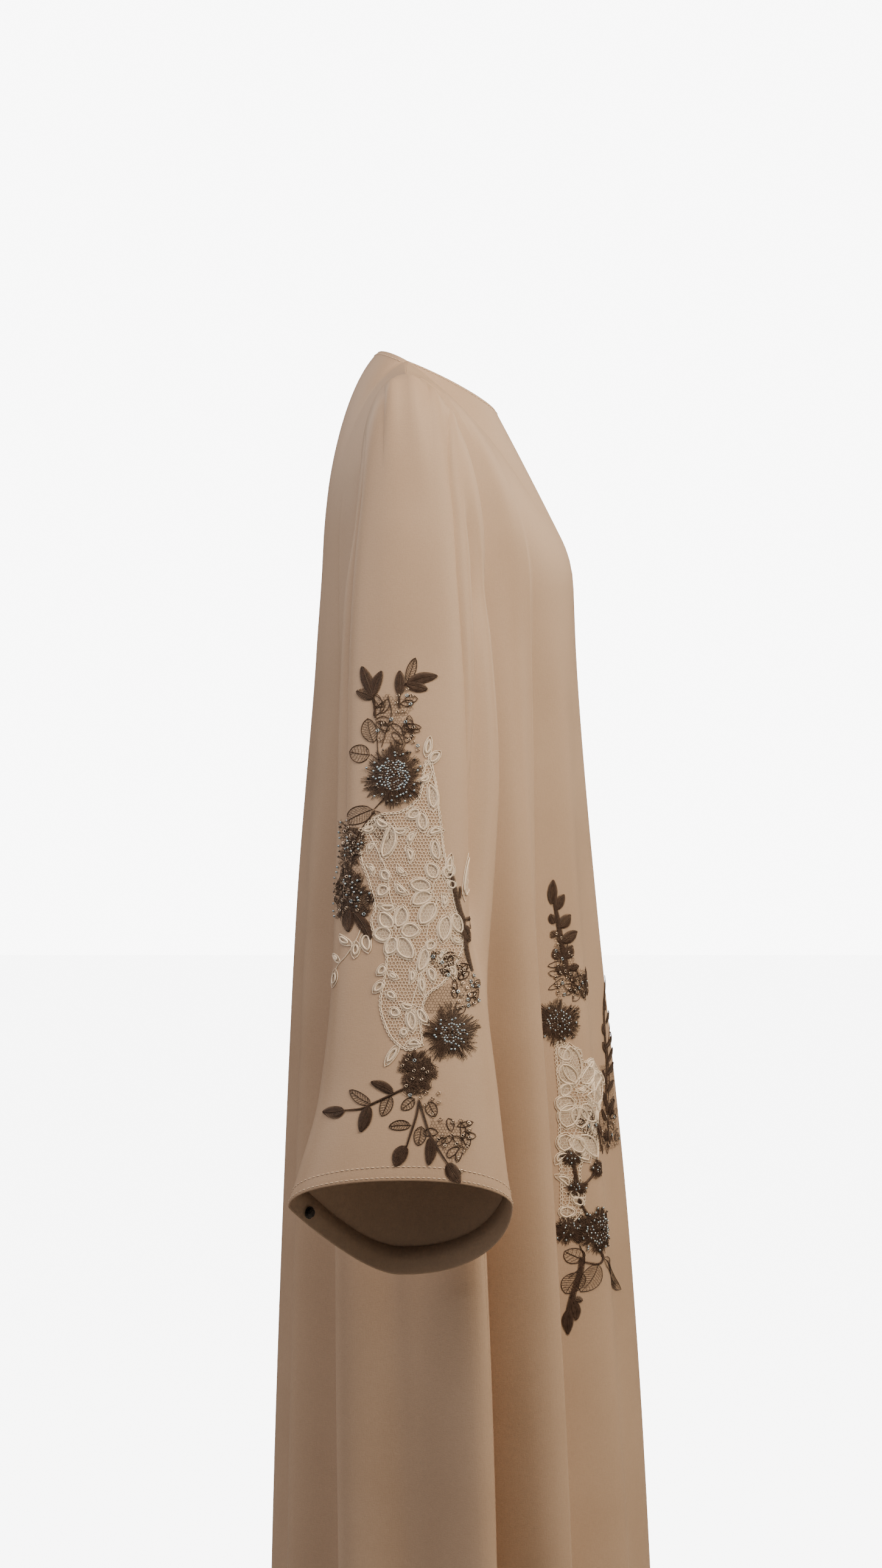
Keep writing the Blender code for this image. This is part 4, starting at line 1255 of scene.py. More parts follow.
    def scribble(self, outline: Array, loops: int, size: float) -> None:
        """Wandering petal-shaped cords over a patch.

        Args:
            outline: Flat corners of the patch.
            loops: How many cords.
            size: Length of a petal.
        """
        low, high = outline.min(0), outline.max(0)
        chance = self.work.chance
        made = 0
        for _ in range(12 * loops):
            centre = low + (high - low) * chance.random(2)
            if made == loops or not inside(outline, centre):
                continue
            turn, wide = 360 * chance.random(), size * (0.34 + 0.2 * chance.random())
            length = size * (0.8 + 0.4 * chance.random())
            form = LeafForm(
                centre - heading_of(turn) * length / 2, length, wide, turn, 0.1 * chance.random()
            )
            self.work.loop(
                form.outline(14), self.lift + 0.0003 * chance.random(), self.scribble_radius
            )
            made += 1

    def tufted_patch(self, outline: Array, threads: int, length: float) -> None:
        """Patch of short uneven threads that all lie roughly one way, as on a bud."""
        low, high = outline.min(0), outline.max(0)
        chance = self.work.chance
        centre = low + (high - low) * chance.random((4 * threads, 2))
        centre = centre[inside(outline, centre)][:threads]
        count = len(centre)
        lean = np.radians(
            100 + 50 * np.sin(centre[:, 0] * 260) + 35 * chance.standard_normal(count)
        )
        reach = (length * (0.5 + 0.8 * chance.random(count)))[:, None]
        ahead = np.stack([np.cos(lean), np.sin(lean)], -1)
        bow = np.stack(
            [-ahead[:, 1], ahead[:, 0]], -1
        ) * reach * 0.15 * chance.standard_normal((count, 1))
        flat = np.stack([centre - ahead * reach / 2, centre + bow, centre + ahead * reach / 2], 1)
        height = self.lift + 0.0005 * chance.random((count, 1)) + np.array([0, 0.0003, 0])
        self.work.lay(flat, height, self.tuft_radius)

    def thread_flower(self, bloom: Bloom) -> None:
        """Flower of radiating threads of uneven length over fine net."""
        chance = self.work.chance
        count = bloom.threads
        angle = 2 * np.pi * (np.arange(count) + 0.8 * chance.random(count)) / count
        edge = bloom.reach(angle)
        start = bloom.radius * (0.03 + 0.34 * chance.random(count))
        end = edge * (1.04 - 0.46 * chance.random(count) ** 1.7)
        sway = 0.16 * chance.standard_normal(count)
        share = np.array([0.0, 0.55, 1.0])
        out = start[:, None] + (end - start)[:, None] * share
        turn = angle[:, None] + sway[:, None] * share**2 * 0.6
        flat = bloom.centre + out[..., None] * np.stack(
            [np.cos(turn), bloom.stretch * np.sin(turn)], -1
        )
        rise = bloom.dome * (1 - out / bloom.radius) + 0.0004 * chance.random((count, 1))
        self.work.lay(flat, self.lift + np.clip(rise, 0, None), self.flower_radius)
        around = np.linspace(0, 2 * np.pi, 44, endpoint=False)
        rim = 0.93 * bloom.reach(around)[:, None]
        disc = bloom.centre + rim * np.stack([np.cos(around), bloom.stretch * np.sin(around)], -1)
        self.work.net(disc, self.flower_cell, self.flower_net_radius)


# ---------------------------------------------------------------- rings, beads, stitches and snaps


@dataclass(frozen=True)
class Trinket:
    """A small thing that is modelled once, lying flat at the origin with its face up."""

    points: Array
    faces: list[list[int]]

    @staticmethod
    def taken(made: Object) -> "Trinket":
        """The mesh of a modelled object, which is then removed."""
        points = np.array([tuple(made.matrix_world @ v.co) for v in made.data.vertices])
        faces = [list(face.vertices) for face in made.data.polygons]
        mesh = made.data
        bpy.data.objects.remove(made)
        bpy.data.meshes.remove(mesh)
        return Trinket(points, faces)

    @staticmethod
    def shaped(scale: tuple[float, float, float], on_side: bool = False) -> "Trinket":
        """The shape just added, turned to lie along X if asked, and resized."""
        bpy.ops.object.mode_set(mode="EDIT")
        bpy.ops.mesh.select_all(action="SELECT")
        if on_side:
            bpy.ops.transform.rotate(value=math.pi / 2, orient_axis="Y", center_override=(0, 0, 0))
        bpy.ops.transform.resize(value=scale)
        bpy.ops.object.mode_set(mode="OBJECT")
        return Trinket.taken(bpy.context.object)

    @staticmethod
    def ring_sequin(outer: float = 0.00162, bore: float = 0.00058) -> "Trinket":
        """A flat ring of bright metal."""
        bpy.ops.object.select_all(action="DESELECT")
        bpy.ops.mesh.primitive_torus_add(
            major_segments=10,
            minor_segments=4,
            major_radius=(outer + bore) / 2,
            minor_radius=(outer - bore) / 2,
        )
        return Trinket.shaped((1, 1, 0.72))

    @staticmethod
    def seed_bead(radius: float = 0.00112) -> "Trinket":
        """A round glass bead, a little wider than it is tall."""
        bpy.ops.object.select_all(action="DESELECT")
        bpy.ops.mesh.primitive_uv_sphere_add(segments=7, ring_count=4, radius=radius)
        return Trinket.shaped((1, 1, 0.85))

    @staticmethod
    def stitch(length: float = 0.0030, radius: float = 0.00046) -> "Trinket":
        """One machine stitch, along X, dipping into the cloth at both ends."""
        bpy.ops.object.select_all(action="DESELECT")
        bpy.ops.mesh.primitive_uv_sphere_add(segments=5, ring_count=4, radius=radius)
        return Trinket.shaped((length / (2 * radius), 1, 0.8), on_side=True)

    def copies(
        self,
        name: str,
        places: Array,
        normals: Array,
        headings: Array,
        finishes: Sequence[Material],
        slots: Array | None = None,
    ) -> Object:
        """Join one copy at each place into one piece.

        Args:
            name: Name of the piece.
            places: Centres (copy, 3).
            normals: Direction of each copy's face.
            headings: Rough direction of each copy's X.
            finishes: Materials.
            slots: Material slot of each copy.

        Returns:
            The piece.
        """
        up = unit(normals)
        ahead = unit(headings - (headings * up).sum(-1, keepdims=True) * up)
        aside = np.cross(up, ahead)
        turned = (
            self.points[None, :, :1] * ahead[:, None]
            + self.points[None, :, 1:2] * aside[:, None]
            + self.points[None, :, 2:] * up[:, None]
        )
        points = (turned + places[:, None]).reshape(-1, 3)
        faces = [
            [
                k * len(self.points) + v for v in face
            ] for k in range(len(places)) for face in self.faces
        ]
        made = link_mesh(name, points, faces, finishes)
        if slots is not None:
            made.data.polygons.foreach_set(
                "material_index", np.repeat(slots, len(self.faces)).astype(np.int32)
            )
        made.data.shade_smooth()
        LOG.info("%s: %d copies", name, len(places))
        return made


# ---------------------------------------------------------------- finishes


def shader_group(
    name: str, inputs: Sequence[tuple[str, str, float | None]], outputs: Sequence[tuple[str, str]]
):
    """Start a shader node group.

    Args:
        name: Name of the group.
        inputs: (name, socket type, default) of each input.
        outputs: (name, socket type) of each output.

    Returns:
        The group with its Group Input and Group Output nodes.
    """
    group = bpy.data.node_groups.new(name, "ShaderNodeTree")
    for label, kind, value in inputs:
        socket = group.interface.new_socket(name=label, in_out="INPUT", socket_type=kind)
        if value is not None:
            socket.default_value = value
    for label, kind in outputs:
        group.interface.new_socket(name=label, in_out="OUTPUT", socket_type=kind)
    return group, group.nodes.new("NodeGroupInput"), group.nodes.new("NodeGroupOutput")


@dataclass(frozen=True)
class Effects:
    """Node groups that several finishes share."""

    weave: bpy.types.ShaderNodeTree
    mottle: bpy.types.ShaderNodeTree

    @staticmethod
    def made() -> "Effects":
        """Build the groups once."""
        return Effects(Effects.weave_group(), Effects.mottle_group())

    @staticmethod
    def weave_group() -> bpy.types.ShaderNodeTree:
        """Crossing uneven yarns: their height, and a mask of slightly lighter yarns."""
        inputs = [("Vector", "NodeSocketVector", None), ("Yarns", "NodeSocketFloat", 2200.0)]
        outputs = [("Height", "NodeSocketFloat"), ("Slub", "NodeSocketFloat")]
        group, start, end = shader_group("crossed_yarns", inputs, outputs)
        nodes, links = group.nodes, group.links
        heights = []
        for stretch in ((1.0, 1.0, 0.16), (0.22, 0.22, 1.0)):
            drawn = nodes.new("ShaderNodeVectorMath")
            drawn.operation = "MULTIPLY"
            drawn.inputs[1].default_value = stretch
            links.new(start.outputs["Vector"], drawn.inputs[0])
            noise = nodes.new("ShaderNodeTexNoise")
            noise.inputs["Detail"].default_value = 1.0
            links.new(drawn.outputs[0], noise.inputs["Vector"])
            links.new(start.outputs["Yarns"], noise.inputs["Scale"])
            heights.append(noise.outputs[0])
        both = nodes.new("ShaderNodeMath")
        both.operation = "ADD"
        links.new(heights[0], both.inputs[0])
        links.new(heights[1], both.inputs[1])
        links.new(both.outputs[0], end.inputs["Height"])
        slub = nodes.new("ShaderNodeMapRange")
        slub.inputs["From Min"].default_value = 0.7
        slub.inputs["From Max"].default_value = 1.3
        links.new(both.outputs[0], slub.inputs["Value"])
        links.new(slub.outputs[0], end.inputs["Slub"])
        return group

    @staticmethod
    def mottle_group() -> bpy.types.ShaderNodeTree:
        """Soft uneven patches, as a mask from 0 to 1."""
        inputs = [("Vector", "NodeSocketVector", None), ("Patches", "NodeSocketFloat", 12.0)]
        group, start, end = shader_group("mottle", inputs, [("Mask", "NodeSocketFloat")])
        nodes, links = group.nodes, group.links
        noise = nodes.new("ShaderNodeTexNoise")
        noise.inputs["Detail"].default_value = 3.0
        links.new(start.outputs["Vector"], noise.inputs["Vector"])
        links.new(start.outputs["Patches"], noise.inputs["Scale"])
        spread = nodes.new("ShaderNodeMapRange")
        spread.inputs["From Min"].default_value = 0.32
        spread.inputs["From Max"].default_value = 0.68
        links.new(noise.outputs[0], spread.inputs["Value"])
        links.new(spread.outputs[0], end.inputs["Mask"])
        return group


Colour = tuple[float, float, float]


@dataclass(frozen=True)
class Finish:
    """A finish that varies between two colours and has a little roughness of the surface."""

    name: str
    dark: Colour
    light: Colour
    roughness: tuple[float, float]
    patches: float  # mottle per metre
    yarns: float  # yarns per metre
    bump: float  # height of the yarns, in metres
    slub: float = 0.0  # share of the yarns' mask in the colour
    metallic: float = 0.0
    sheen: float = 0.0
    sheen_tint: Colour = (1.0, 1.0, 1.0)
    coat: float = 0.0
    specular: float = 0.5

    def made(self, effects: Effects) -> Material:
        """Build the material.

        Args:
            effects: Shared node groups.

        Returns:
            The material.
        """
        finish = bpy.data.materials.new(self.name)
        finish.use_nodes = True
        nodes, links = finish.node_tree.nodes, finish.node_tree.links
        shader = nodes["Principled BSDF"]
        for socket, value in (
            ("Metallic", self.metallic),
            ("Sheen Weight", self.sheen),
            ("Sheen Roughness", 0.45),
            ("Sheen Tint", (*self.sheen_tint, 1)),
            ("Coat Weight", self.coat),
            ("Coat Roughness", 0.12),
            ("Specular IOR Level", self.specular),
        ):
            shader.inputs[socket].default_value = value
        place = nodes.new("ShaderNodeTexCoord")
        mottle = nodes.new("ShaderNodeGroup")
        mottle.node_tree = effects.mottle
        mottle.inputs["Patches"].default_value = self.patches
        weave = nodes.new("ShaderNodeGroup")
        weave.node_tree = effects.weave
        weave.inputs["Yarns"].default_value = self.yarns
        links.new(place.outputs["Object"], mottle.inputs["Vector"])
        links.new(place.outputs["Object"], weave.inputs["Vector"])
        share = nodes.new("ShaderNodeMix")
        share.inputs["Factor"].default_value = self.slub
        links.new(mottle.outputs["Mask"], share.inputs["A"])
        links.new(weave.outputs["Slub"], share.inputs["B"])
        shade = nodes.new("ShaderNodeMix")
        shade.data_type = "RGBA"
        shade.inputs["A"].default_value = (*self.dark, 1)
        shade.inputs["B"].default_value = (*self.light, 1)
        links.new(share.outputs["Result"], shade.inputs["Factor"])
        links.new(shade.outputs["Result"], shader.inputs["Base Color"])
        rough = nodes.new("ShaderNodeMapRange")
        rough.inputs["To Min"].default_value = self.roughness[0]
        rough.inputs["To Max"].default_value = self.roughness[1]
        links.new(mottle.outputs["Mask"], rough.inputs["Value"])
        links.new(rough.outputs["Result"], shader.inputs["Roughness"])
        bump = nodes.new("ShaderNodeBump")
        bump.inputs["Distance"].default_value = self.bump
        links.new(weave.outputs["Height"], bump.inputs["Height"])
        links.new(bump.outputs["Normal"], shader.inputs["Normal"])
        return finish


CREPE = Finish(
    "taupe_crepe",
    dark=(0.495, 0.368, 0.280),
    light=(0.570, 0.433, 0.336),
    roughness=(0.50, 0.60),
    patches=9.0,
    yarns=1500.0,
    bump=0.00006,
    slub=0.45,
    sheen=0.05,
    sheen_tint=(1.0, 0.90, 0.80),
)
IVORY = Finish(
    "ivory_thread", (0.90, 0.78, 0.66), (0.97, 0.89, 0.79),
    (0.45, 0.60), 260.0, 2600.0, 0.00012, 0.5, sheen=0.35,
)
IVORY_NET = Finish(
    "ivory_net", (0.88, 0.76, 0.64), (0.95, 0.87, 0.77),
    (0.55, 0.70), 200.0, 2600.0, 0.00008, 0.4, sheen=0.2,
)
BROWN = Finish(
    "brown_silk_thread", (0.028, 0.016, 0.012), (0.090, 0.056, 0.044),
    (0.45, 0.62), 240.0, 2600.0, 0.00012, 0.5, sheen=0.04, specular=0.3,
)
BROWN_NET = Finish(
    "brown_net", (0.050, 0.028, 0.019), (0.110, 0.064, 0.043),
    (0.50, 0.65), 200.0, 2600.0, 0.00006, 0.4,
)
RING_METAL = Finish(
    "antique_ring_metal", (0.42, 0.33, 0.27), (0.80, 0.70, 0.60),
    (0.14, 0.30), 420.0, 900.0, 0.00004, 0.2, metallic=1.0,
)
SILVER_BEAD = Finish(
    "silver_blue_bead", (0.26, 0.38, 0.55), (0.70, 0.88, 1.00),
    (0.10, 0.24), 500.0, 900.0, 0.00003, 0.2, metallic=0.85, coat=0.6,
)
DARK_BEAD = Finish(
    "dark_glass_bead", (0.035, 0.024, 0.020), (0.12, 0.085, 0.070),
    (0.08, 0.20), 500.0, 900.0, 0.00003, 0.2, coat=1.0, specular=0.8,
)
SEWING = Finish(
    "taupe_sewing_thread", (0.78, 0.64, 0.52), (0.92, 0.78, 0.65),
    (0.45, 0.60), 300.0, 3200.0, 0.00006, 0.5, sheen=0.2,
)
BLACK = Finish(
    "black_snap", (0.008, 0.008, 0.010), (0.020, 0.020, 0.024),
    (0.12, 0.28), 350.0, 700.0, 0.00003, 0.2, coat=0.5,
)


@dataclass(frozen=True)
class Finishes:
    """The cloak's materials."""

    crepe: Material
    ivory: Material
    ivory_net: Material
    brown: Material
    brown_net: Material
    ring: Material
    silver: Material
    bead: Material
    sewing: Material
    black: Material

    @staticmethod
    def made() -> "Finishes":
        """Build them all."""
        effects = Effects.made()
        recipes = (
            CREPE, IVORY, IVORY_NET, BROWN, BROWN_NET, RING_METAL, SILVER_BEAD, DARK_BEAD, SEWING,
            BLACK
        )
        return Finishes(*(recipe.made(effects) for recipe in recipes))


# ---------------------------------------------------------------- studio


WARM: Colour = (1.0, 0.80, 0.57)
MILD: Colour = (0.94, 0.80, 0.68)


@dataclass(frozen=True)
class Lamp:
    """A large soft lamp."""

    name: str
    place: tuple[float, float, float]
    aim: tuple[float, float, float]
    size: float
    power: float
    colour: Colour

    def hang(self) -> None:
        """Add the lamp."""
        data = bpy.data.lights.new(self.name, "AREA")
        data.shape, data.size, data.energy, data.color = "DISK", self.size, self.power, self.colour
        lamp = bpy.data.objects.new(self.name, data)
        lamp.location = self.place
        lamp.rotation_euler = (
            Vector(self.aim) - Vector(self.place)
        ).to_track_quat("-Z", "Y").to_euler()
        bpy.context.scene.collection.objects.link(lamp)


@dataclass(frozen=True)
class Studio:
    """White room: a pale floor, soft lamps and the camera."""

    camera_place: tuple[float, float, float] = (-2.6, -0.0302, -0.3796)
    lens: float = 64.89
    floor_height: float = -1.445
    floor_size: float = 30.0
    lamps: tuple[Lamp, ...] = (
        Lamp("key", (-1.2, -1.8, 1.0), (0.0, -0.1, -0.3), 1.4, 58.0, WARM),
        Lamp("overhead", (-0.8, -0.3, 1.0), (-0.2, -0.05, -0.2), 0.9, 14.5, WARM),
        Lamp("fill", (-1.6, 2.2, 1.0), (0.0, 0.0, -0.4), 1.8, 40.0, MILD),
        Lamp("far_front", (1.6, -1.9, 0.8), (0.0, 0.0, -0.5), 1.8, 31.0, WARM),
        Lamp("far_back", (1.5, 1.9, 1.0), (0.0, 0.0, -0.5), 1.8, 24.0, MILD),
    )
    room_light: float = 0.03
    backdrop: float = 8.7
    floor_glow: float = 7.6

    def build(self) -> None:
        """Set up the whole studio."""
        self.set_camera()
        self.lay_floor()
        self.light_room()
        for lamp in self.lamps:
            lamp.hang()

    def set_camera(self) -> None:
        """Add the camera, level, looking along +X."""
        data = bpy.data.cameras.new("camera")
        data.lens, data.sensor_width, data.clip_end = self.lens, 36.0, 100.0
        camera = bpy.data.objects.new("camera", data)
        camera.location = self.camera_place
        camera.rotation_euler = (math.pi / 2, 0, -math.pi / 2)
        bpy.context.scene.collection.objects.link(camera)
        bpy.context.scene.camera = camera

    def lay_floor(self) -> None:
        """Add the floor."""
        bpy.ops.object.select_all(action="DESELECT")
        bpy.ops.mesh.primitive_grid_add(x_subdivisions=4, y_subdivisions=4, size=self.floor_size)
        floor = bpy.context.object
        floor.name = "floor"
        floor.data.transform(Matrix.Translation((0, 0, self.floor_height)))
        paint = bpy.data.materials.new("pale_floor")
        paint.use_nodes = True
        nodes, links = paint.node_tree.nodes, paint.node_tree.links
        shader = nodes["Principled BSDF"]
        shader.inputs["Base Color"].default_value = (0.35, 0.35, 0.35, 1)
        shader.inputs["Roughness"].default_value = 0.9
        glow = nodes.new("ShaderNodeEmission")
        glow.inputs["Strength"].default_value = self.floor_glow
        ray, mix, both = (
            nodes.new(f"ShaderNode{kind}") for kind in ("LightPath", "MixShader", "AddShader")
        )
        links.new(shader.outputs[0], both.inputs[0])
        links.new(glow.outputs[0], both.inputs[1])
        links.new(ray.outputs["Is Camera Ray"], mix.inputs[0])
        links.new(shader.outputs[0], mix.inputs[1])
        links.new(both.outputs[0], mix.inputs[2])
        links.new(mix.outputs[0], nodes["Material Output"].inputs["Surface"])
        floor.data.materials.append(paint)

    def light_room(self) -> None:
        """Even light from all round, in front of a white backdrop."""
        world = bpy.data.worlds.new("white_room")
        world.use_nodes = True
        bpy.context.scene.world = world
        nodes, links = world.node_tree.nodes, world.node_tree.links
        around = nodes["Background"]
        around.inputs["Color"].default_value = (1, 1, 1, 1)
        around.inputs["Strength"].default_value = self.room_light
        seen = nodes.new("ShaderNodeBackground")
        seen.inputs["Color"].default_value = (1, 1, 1, 1)
        seen.inputs["Strength"].default_value = self.backdrop
        ray, mix = nodes.new("ShaderNodeLightPath"), nodes.new("ShaderNodeMixShader")
        links.new(ray.outputs["Is Camera Ray"], mix.inputs[0])
        links.new(around.outputs[0], mix.inputs[1])
        links.new(seen.outputs[0], mix.inputs[2])
        links.new(mix.outputs[0], nodes["World Output"].inputs["Surface"])


# ---------------------------------------------------------------- trimming


def declare(piece: Object, nodes: Sequence[str] = ()) -> Object:
    """Let a finished piece ride on the cloak and stand for its solids.

    Args:
        piece: The piece.
        nodes: Solids that it replaces.

    Returns:
        The piece.
    """
    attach(piece, "root")
    if nodes:
        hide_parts(*nodes)
    return piece


def row_of(text: str) -> Row:
    """Numbers parted by spaces."""
    return tuple(map(float, text.split()))


def rows_of(text: str) -> Rows:
    """Rows parted by semicolons."""
    return tuple(row_of(row) for row in text.split(";"))


def shapes_of(text: str) -> tuple[Rows, ...]:
    """Tables parted by bars."""
    return tuple(rows_of(shape) for shape in text.split("|"))


def headed_of(text: str) -> Headed:
    """Tables parted by bars, each with a row of its own and a colon before it."""
    return tuple(
        (row_of(head), rows_of(rows)) for head,
        rows in (part.split(":") for part in text.split("|"))
    )


def flat_outline(corners: Rows, rounded: bool = False) -> Array:
    """Corners (forward, below) in millimetres as flat places, rounded off if asked."""
    outline = np.array(corners) * [MM, -MM]
    return closed_round(outline, 0.0025) if rounded else outline


@dataclass(frozen=True)
class BeadSpread:
    """Beads scattered over a disc, thick in the middle."""

    forward: float  # its centre and sizes in millimetres
    below: float
    cluster: float  # radius of the thick middle
    reach: float
    in_cluster: int
    beyond: int

    def places(self, chance: np.random.Generator, apart: float = 0.0018) -> Array:
        """Flat places of the beads, the cluster's first.

        Args:
            chance: Seeded choice.
            apart: Least distance between beads.

        Returns:
            Places (bead, 2).
        """
        centre = np.array([self.forward, -self.below]) * MM
        kept: list[Array] = []
        for wanted, low, high in (
            (self.in_cluster, 0.0, self.cluster),
            (self.beyond, self.cluster, self.reach),
        ):
            target = len(kept) + wanted
            for _ in range(60 * wanted):
                if len(kept) == target:
                    break
                out = MM * math.sqrt(low**2 + (high**2 - low**2) * chance.random())
                spot = centre + out * heading_of(360 * chance.random())
                if all(np.linalg.norm(spot - other) > apart for other in kept):
                    kept.append(spot)
        return np.array(kept)


@dataclass(frozen=True)
class TrimPlan:
    """Everything sewn on one face of the cloak. Places are in millimetres, forward and below."""

    prefix: str
    satin: Rows = ()  # forward and below of the base, length, width, heading
    veined: Rows = ()  # the same
    petals: Rows = ()  # the same
    lace_outlines: tuple[Rows, ...] = ()
    lace_cords: tuple[Rows, ...] = ()
    lace_rings: Rows = ()  # centre, half width, half height
    stems: Headed = ()  # width, then corners
    cords: tuple[Rows, ...] = ()
    scribbles: Headed = ()  # loops and length of a petal, then corners
    tufts: Headed = ()  # threads and their length, then corners
    nets: tuple[Rows, ...] = ()
    blooms: Rows = ()  # centre, radius, petals, threads, stretch
    rings: Rows = ()
    spreads: Rows = ()  # centre, thick middle's radius, reach, beads in it, beads beyond
    edge_beads: Rows = ()
    replaced_lace: tuple[str, ...] = ()
    replaced_thread: tuple[str, ...] = ()
    seed: int = 5


@dataclass(frozen=True)
class Trimming:
    """The trimming of one face, made from its plan."""

    plan: TrimPlan
    face: ClothFace
    side: Side
    finishes: Finishes
    lace_cell: tuple[float, float] = (0.0026, 0.0034)
    fine_cell: tuple[float, float] = (0.0024, 0.0029)
    petal_breadth: float = 1.45
    satin_breadth: float = 1.45
    petal_gap: float = 0.0118
    lace_radius: float = 0.00040
    lace_cord_radius: float = 0.00045
    fine_radius: float = 0.00020
    silver_rings: float = 0.22  # share of the rings
    dark_beads: float = 0.40  # share of the beads
    ring_height: float = 0.0011  # middle of a ring over the cloth
    bead_height: float = 0.0014

    def name(self, kind: str) -> str:
        """Name of a piece."""
        return f"{self.plan.prefix}_{kind}_{self.side.value}"

    def lace(self) -> Object:
        """Ivory lace: net, lined petals and cords."""
        plan = self.plan
        work = ThreadWork(
            self.name("lace"), self.face, [self.finishes.ivory, self.finishes.ivory_net], plan.seed
        )
        hand = Embroiderer(work)
        for corners in plan.lace_outlines:
            outline = flat_outline(corners, rounded=True)
            work.net(outline, self.lace_cell, self.lace_radius, NET)
            hand.lace_edge(outline)
        forms = []
        for number, row in enumerate(plan.petals):
            forward, below, length, width, heading = row
            broad = (
                forward, below, 1.12 * length, min(self.petal_breadth * width, width + 2.5), heading
            )
            forms.append(LeafForm.of(broad, 0.06 * math.sin(2.3 * number)))
            hand.lined_petal(forms[-1])
        middles = [form.at(np.array(0.5), np.array(0.0)) for form in forms]
        for corners in plan.lace_outlines:
            hand.strew_petals(flat_outline(corners, rounded=True), middles, self.petal_gap)
        for corners in plan.lace_cords:
            hand.cord_stem(corners, self.lace_cord_radius)
        for forward, below, wide, tall in plan.lace_rings:
            around = np.linspace(0, 2 * np.pi, 28, endpoint=False)
            oval = np.stack(
                [forward + wide * np.cos(around), -below + tall * np.sin(around)], -1
            ) * MM
            work.loop(oval, hand.lift, 0.00035)
            dashes = oval[::2] + (oval[1::2] - oval[::2]) * 0.1
            middle = np.array([forward, -below]) * MM
            strokes = np.stack(
                [middle + (dashes - middle) * 0.72, middle + (dashes - middle) * 0.95], 1
            )
            work.lay(strokes, hand.lift + 0.0002, 0.0003)
        return declare(work.build(), self.side_names(plan.replaced_lace))

    def threads(self) -> Object:
        """Brown embroidery: leaves, stems, flowers and patches."""
        plan = self.plan
        work = ThreadWork(
            self.name("threads"), self.face, [self.finishes.brown, self.finishes.brown_net],
            plan.seed
        )
        hand = Embroiderer(work)
        for number, row in enumerate(plan.satin):
            forward, below, length, width, heading = row
            broad = (forward, below, length, self.satin_breadth * width, heading)
            hand.satin_leaf(LeafForm.of(broad, 0.05 * math.sin(1.9 * number)))
        for number, row in enumerate(plan.veined):
            hand.veined_leaf(LeafForm.of(row, 0.05 * math.sin(1.3 * number)))
        for (width,), route in plan.stems:
            hand.satin_stem(route, width * MM)
        for route in plan.cords:
            hand.cord_stem(route)
        for (loops, size), corners in plan.scribbles:
            outline = flat_outline(corners)
            work.net(outline, self.fine_cell, self.fine_radius, NET)
            hand.scribble(outline, int(loops), size * MM)
        for (threads, length), corners in plan.tufts:
            hand.tufted_patch(flat_outline(corners), int(threads), length * MM)
        for corners in plan.nets:
            work.net(flat_outline(corners), self.fine_cell, self.fine_radius, NET)
        for forward, below, radius, petals, threads, stretch in plan.blooms:
            centre = np.array([forward, -below]) * MM
            hand.thread_flower(Bloom(centre, radius * MM, int(petals), int(threads), stretch))
        return declare(work.build(), self.side_names(plan.replaced_thread))

    def rings(self) -> Object:
        """Ring sequins."""
        chance = np.random.default_rng(self.plan.seed + 11)
        flat = np.array(self.plan.rings) * [MM, -MM]
        slots = (chance.random(len(flat)) < self.silver_rings).astype(int)
        finishes = [self.finishes.ring, self.finishes.silver]
        ring, height = Trinket.ring_sequin(), self.ring_height
        return self.sewn(ring, "rings", flat, height, 0.30, finishes, slots, chance)

    def beads(self) -> Object:
        """Seed beads in the flowers and along edges."""
        chance = np.random.default_rng(self.plan.seed + 23)
        groups = []
        for *sizes, inner, beyond in self.plan.spreads:
            groups.append(BeadSpread(*sizes, int(inner), int(beyond)).places(chance))
        if self.plan.edge_beads:
            groups.append(np.array(self.plan.edge_beads) * [MM, -MM])
        flat = np.concatenate(groups)
        slots = (chance.random(len(flat)) < self.dark_beads).astype(int)
        finishes = [self.finishes.silver, self.finishes.bead]
        bead, height = Trinket.seed_bead(), self.bead_height
        return self.sewn(bead, "beads", flat, height, 0.5, finishes, slots, chance)

    def sewn(
        self,
        trinket: Trinket,
        kind: str,
        flat: Array,
        height: float,
        tilt: float,
        finishes: Sequence[Material],
        slots: Array,
        chance: np.random.Generator,
    ) -> Object:
        """Sew copies of a trinket on the face, each a little askew.

        Args:
            trinket: What to sew on.
            kind: Last part of the piece's name.
            flat: Flat places (copy, 2).
            height: Height of the centres over the cloth.
            tilt: How far a copy may lean.
            finishes: Materials.
            slots: Material slot of each copy.
            chance: Seeded choice.

        Returns:
            The piece.
        """
        points, normals = self.face.at(flat, np.full(len(flat), height))
        leaning = unit(normals + tilt * (chance.random(normals.shape) - 0.5))
        headings = chance.standard_normal(normals.shape)
        made = trinket.copies(self.name(kind), points, leaning, headings, finishes, slots)
        return declare(made)

    def side_names(self, nodes: Sequence[str]) -> list[str]:
        """Names of this side's solids."""
        return [f"{node}_{self.side.value}" for node in nodes]

    def make(self) -> list[Object]:
        """Make all the pieces."""
        return [self.lace(), self.threads(), self.rings(), self.beads()]


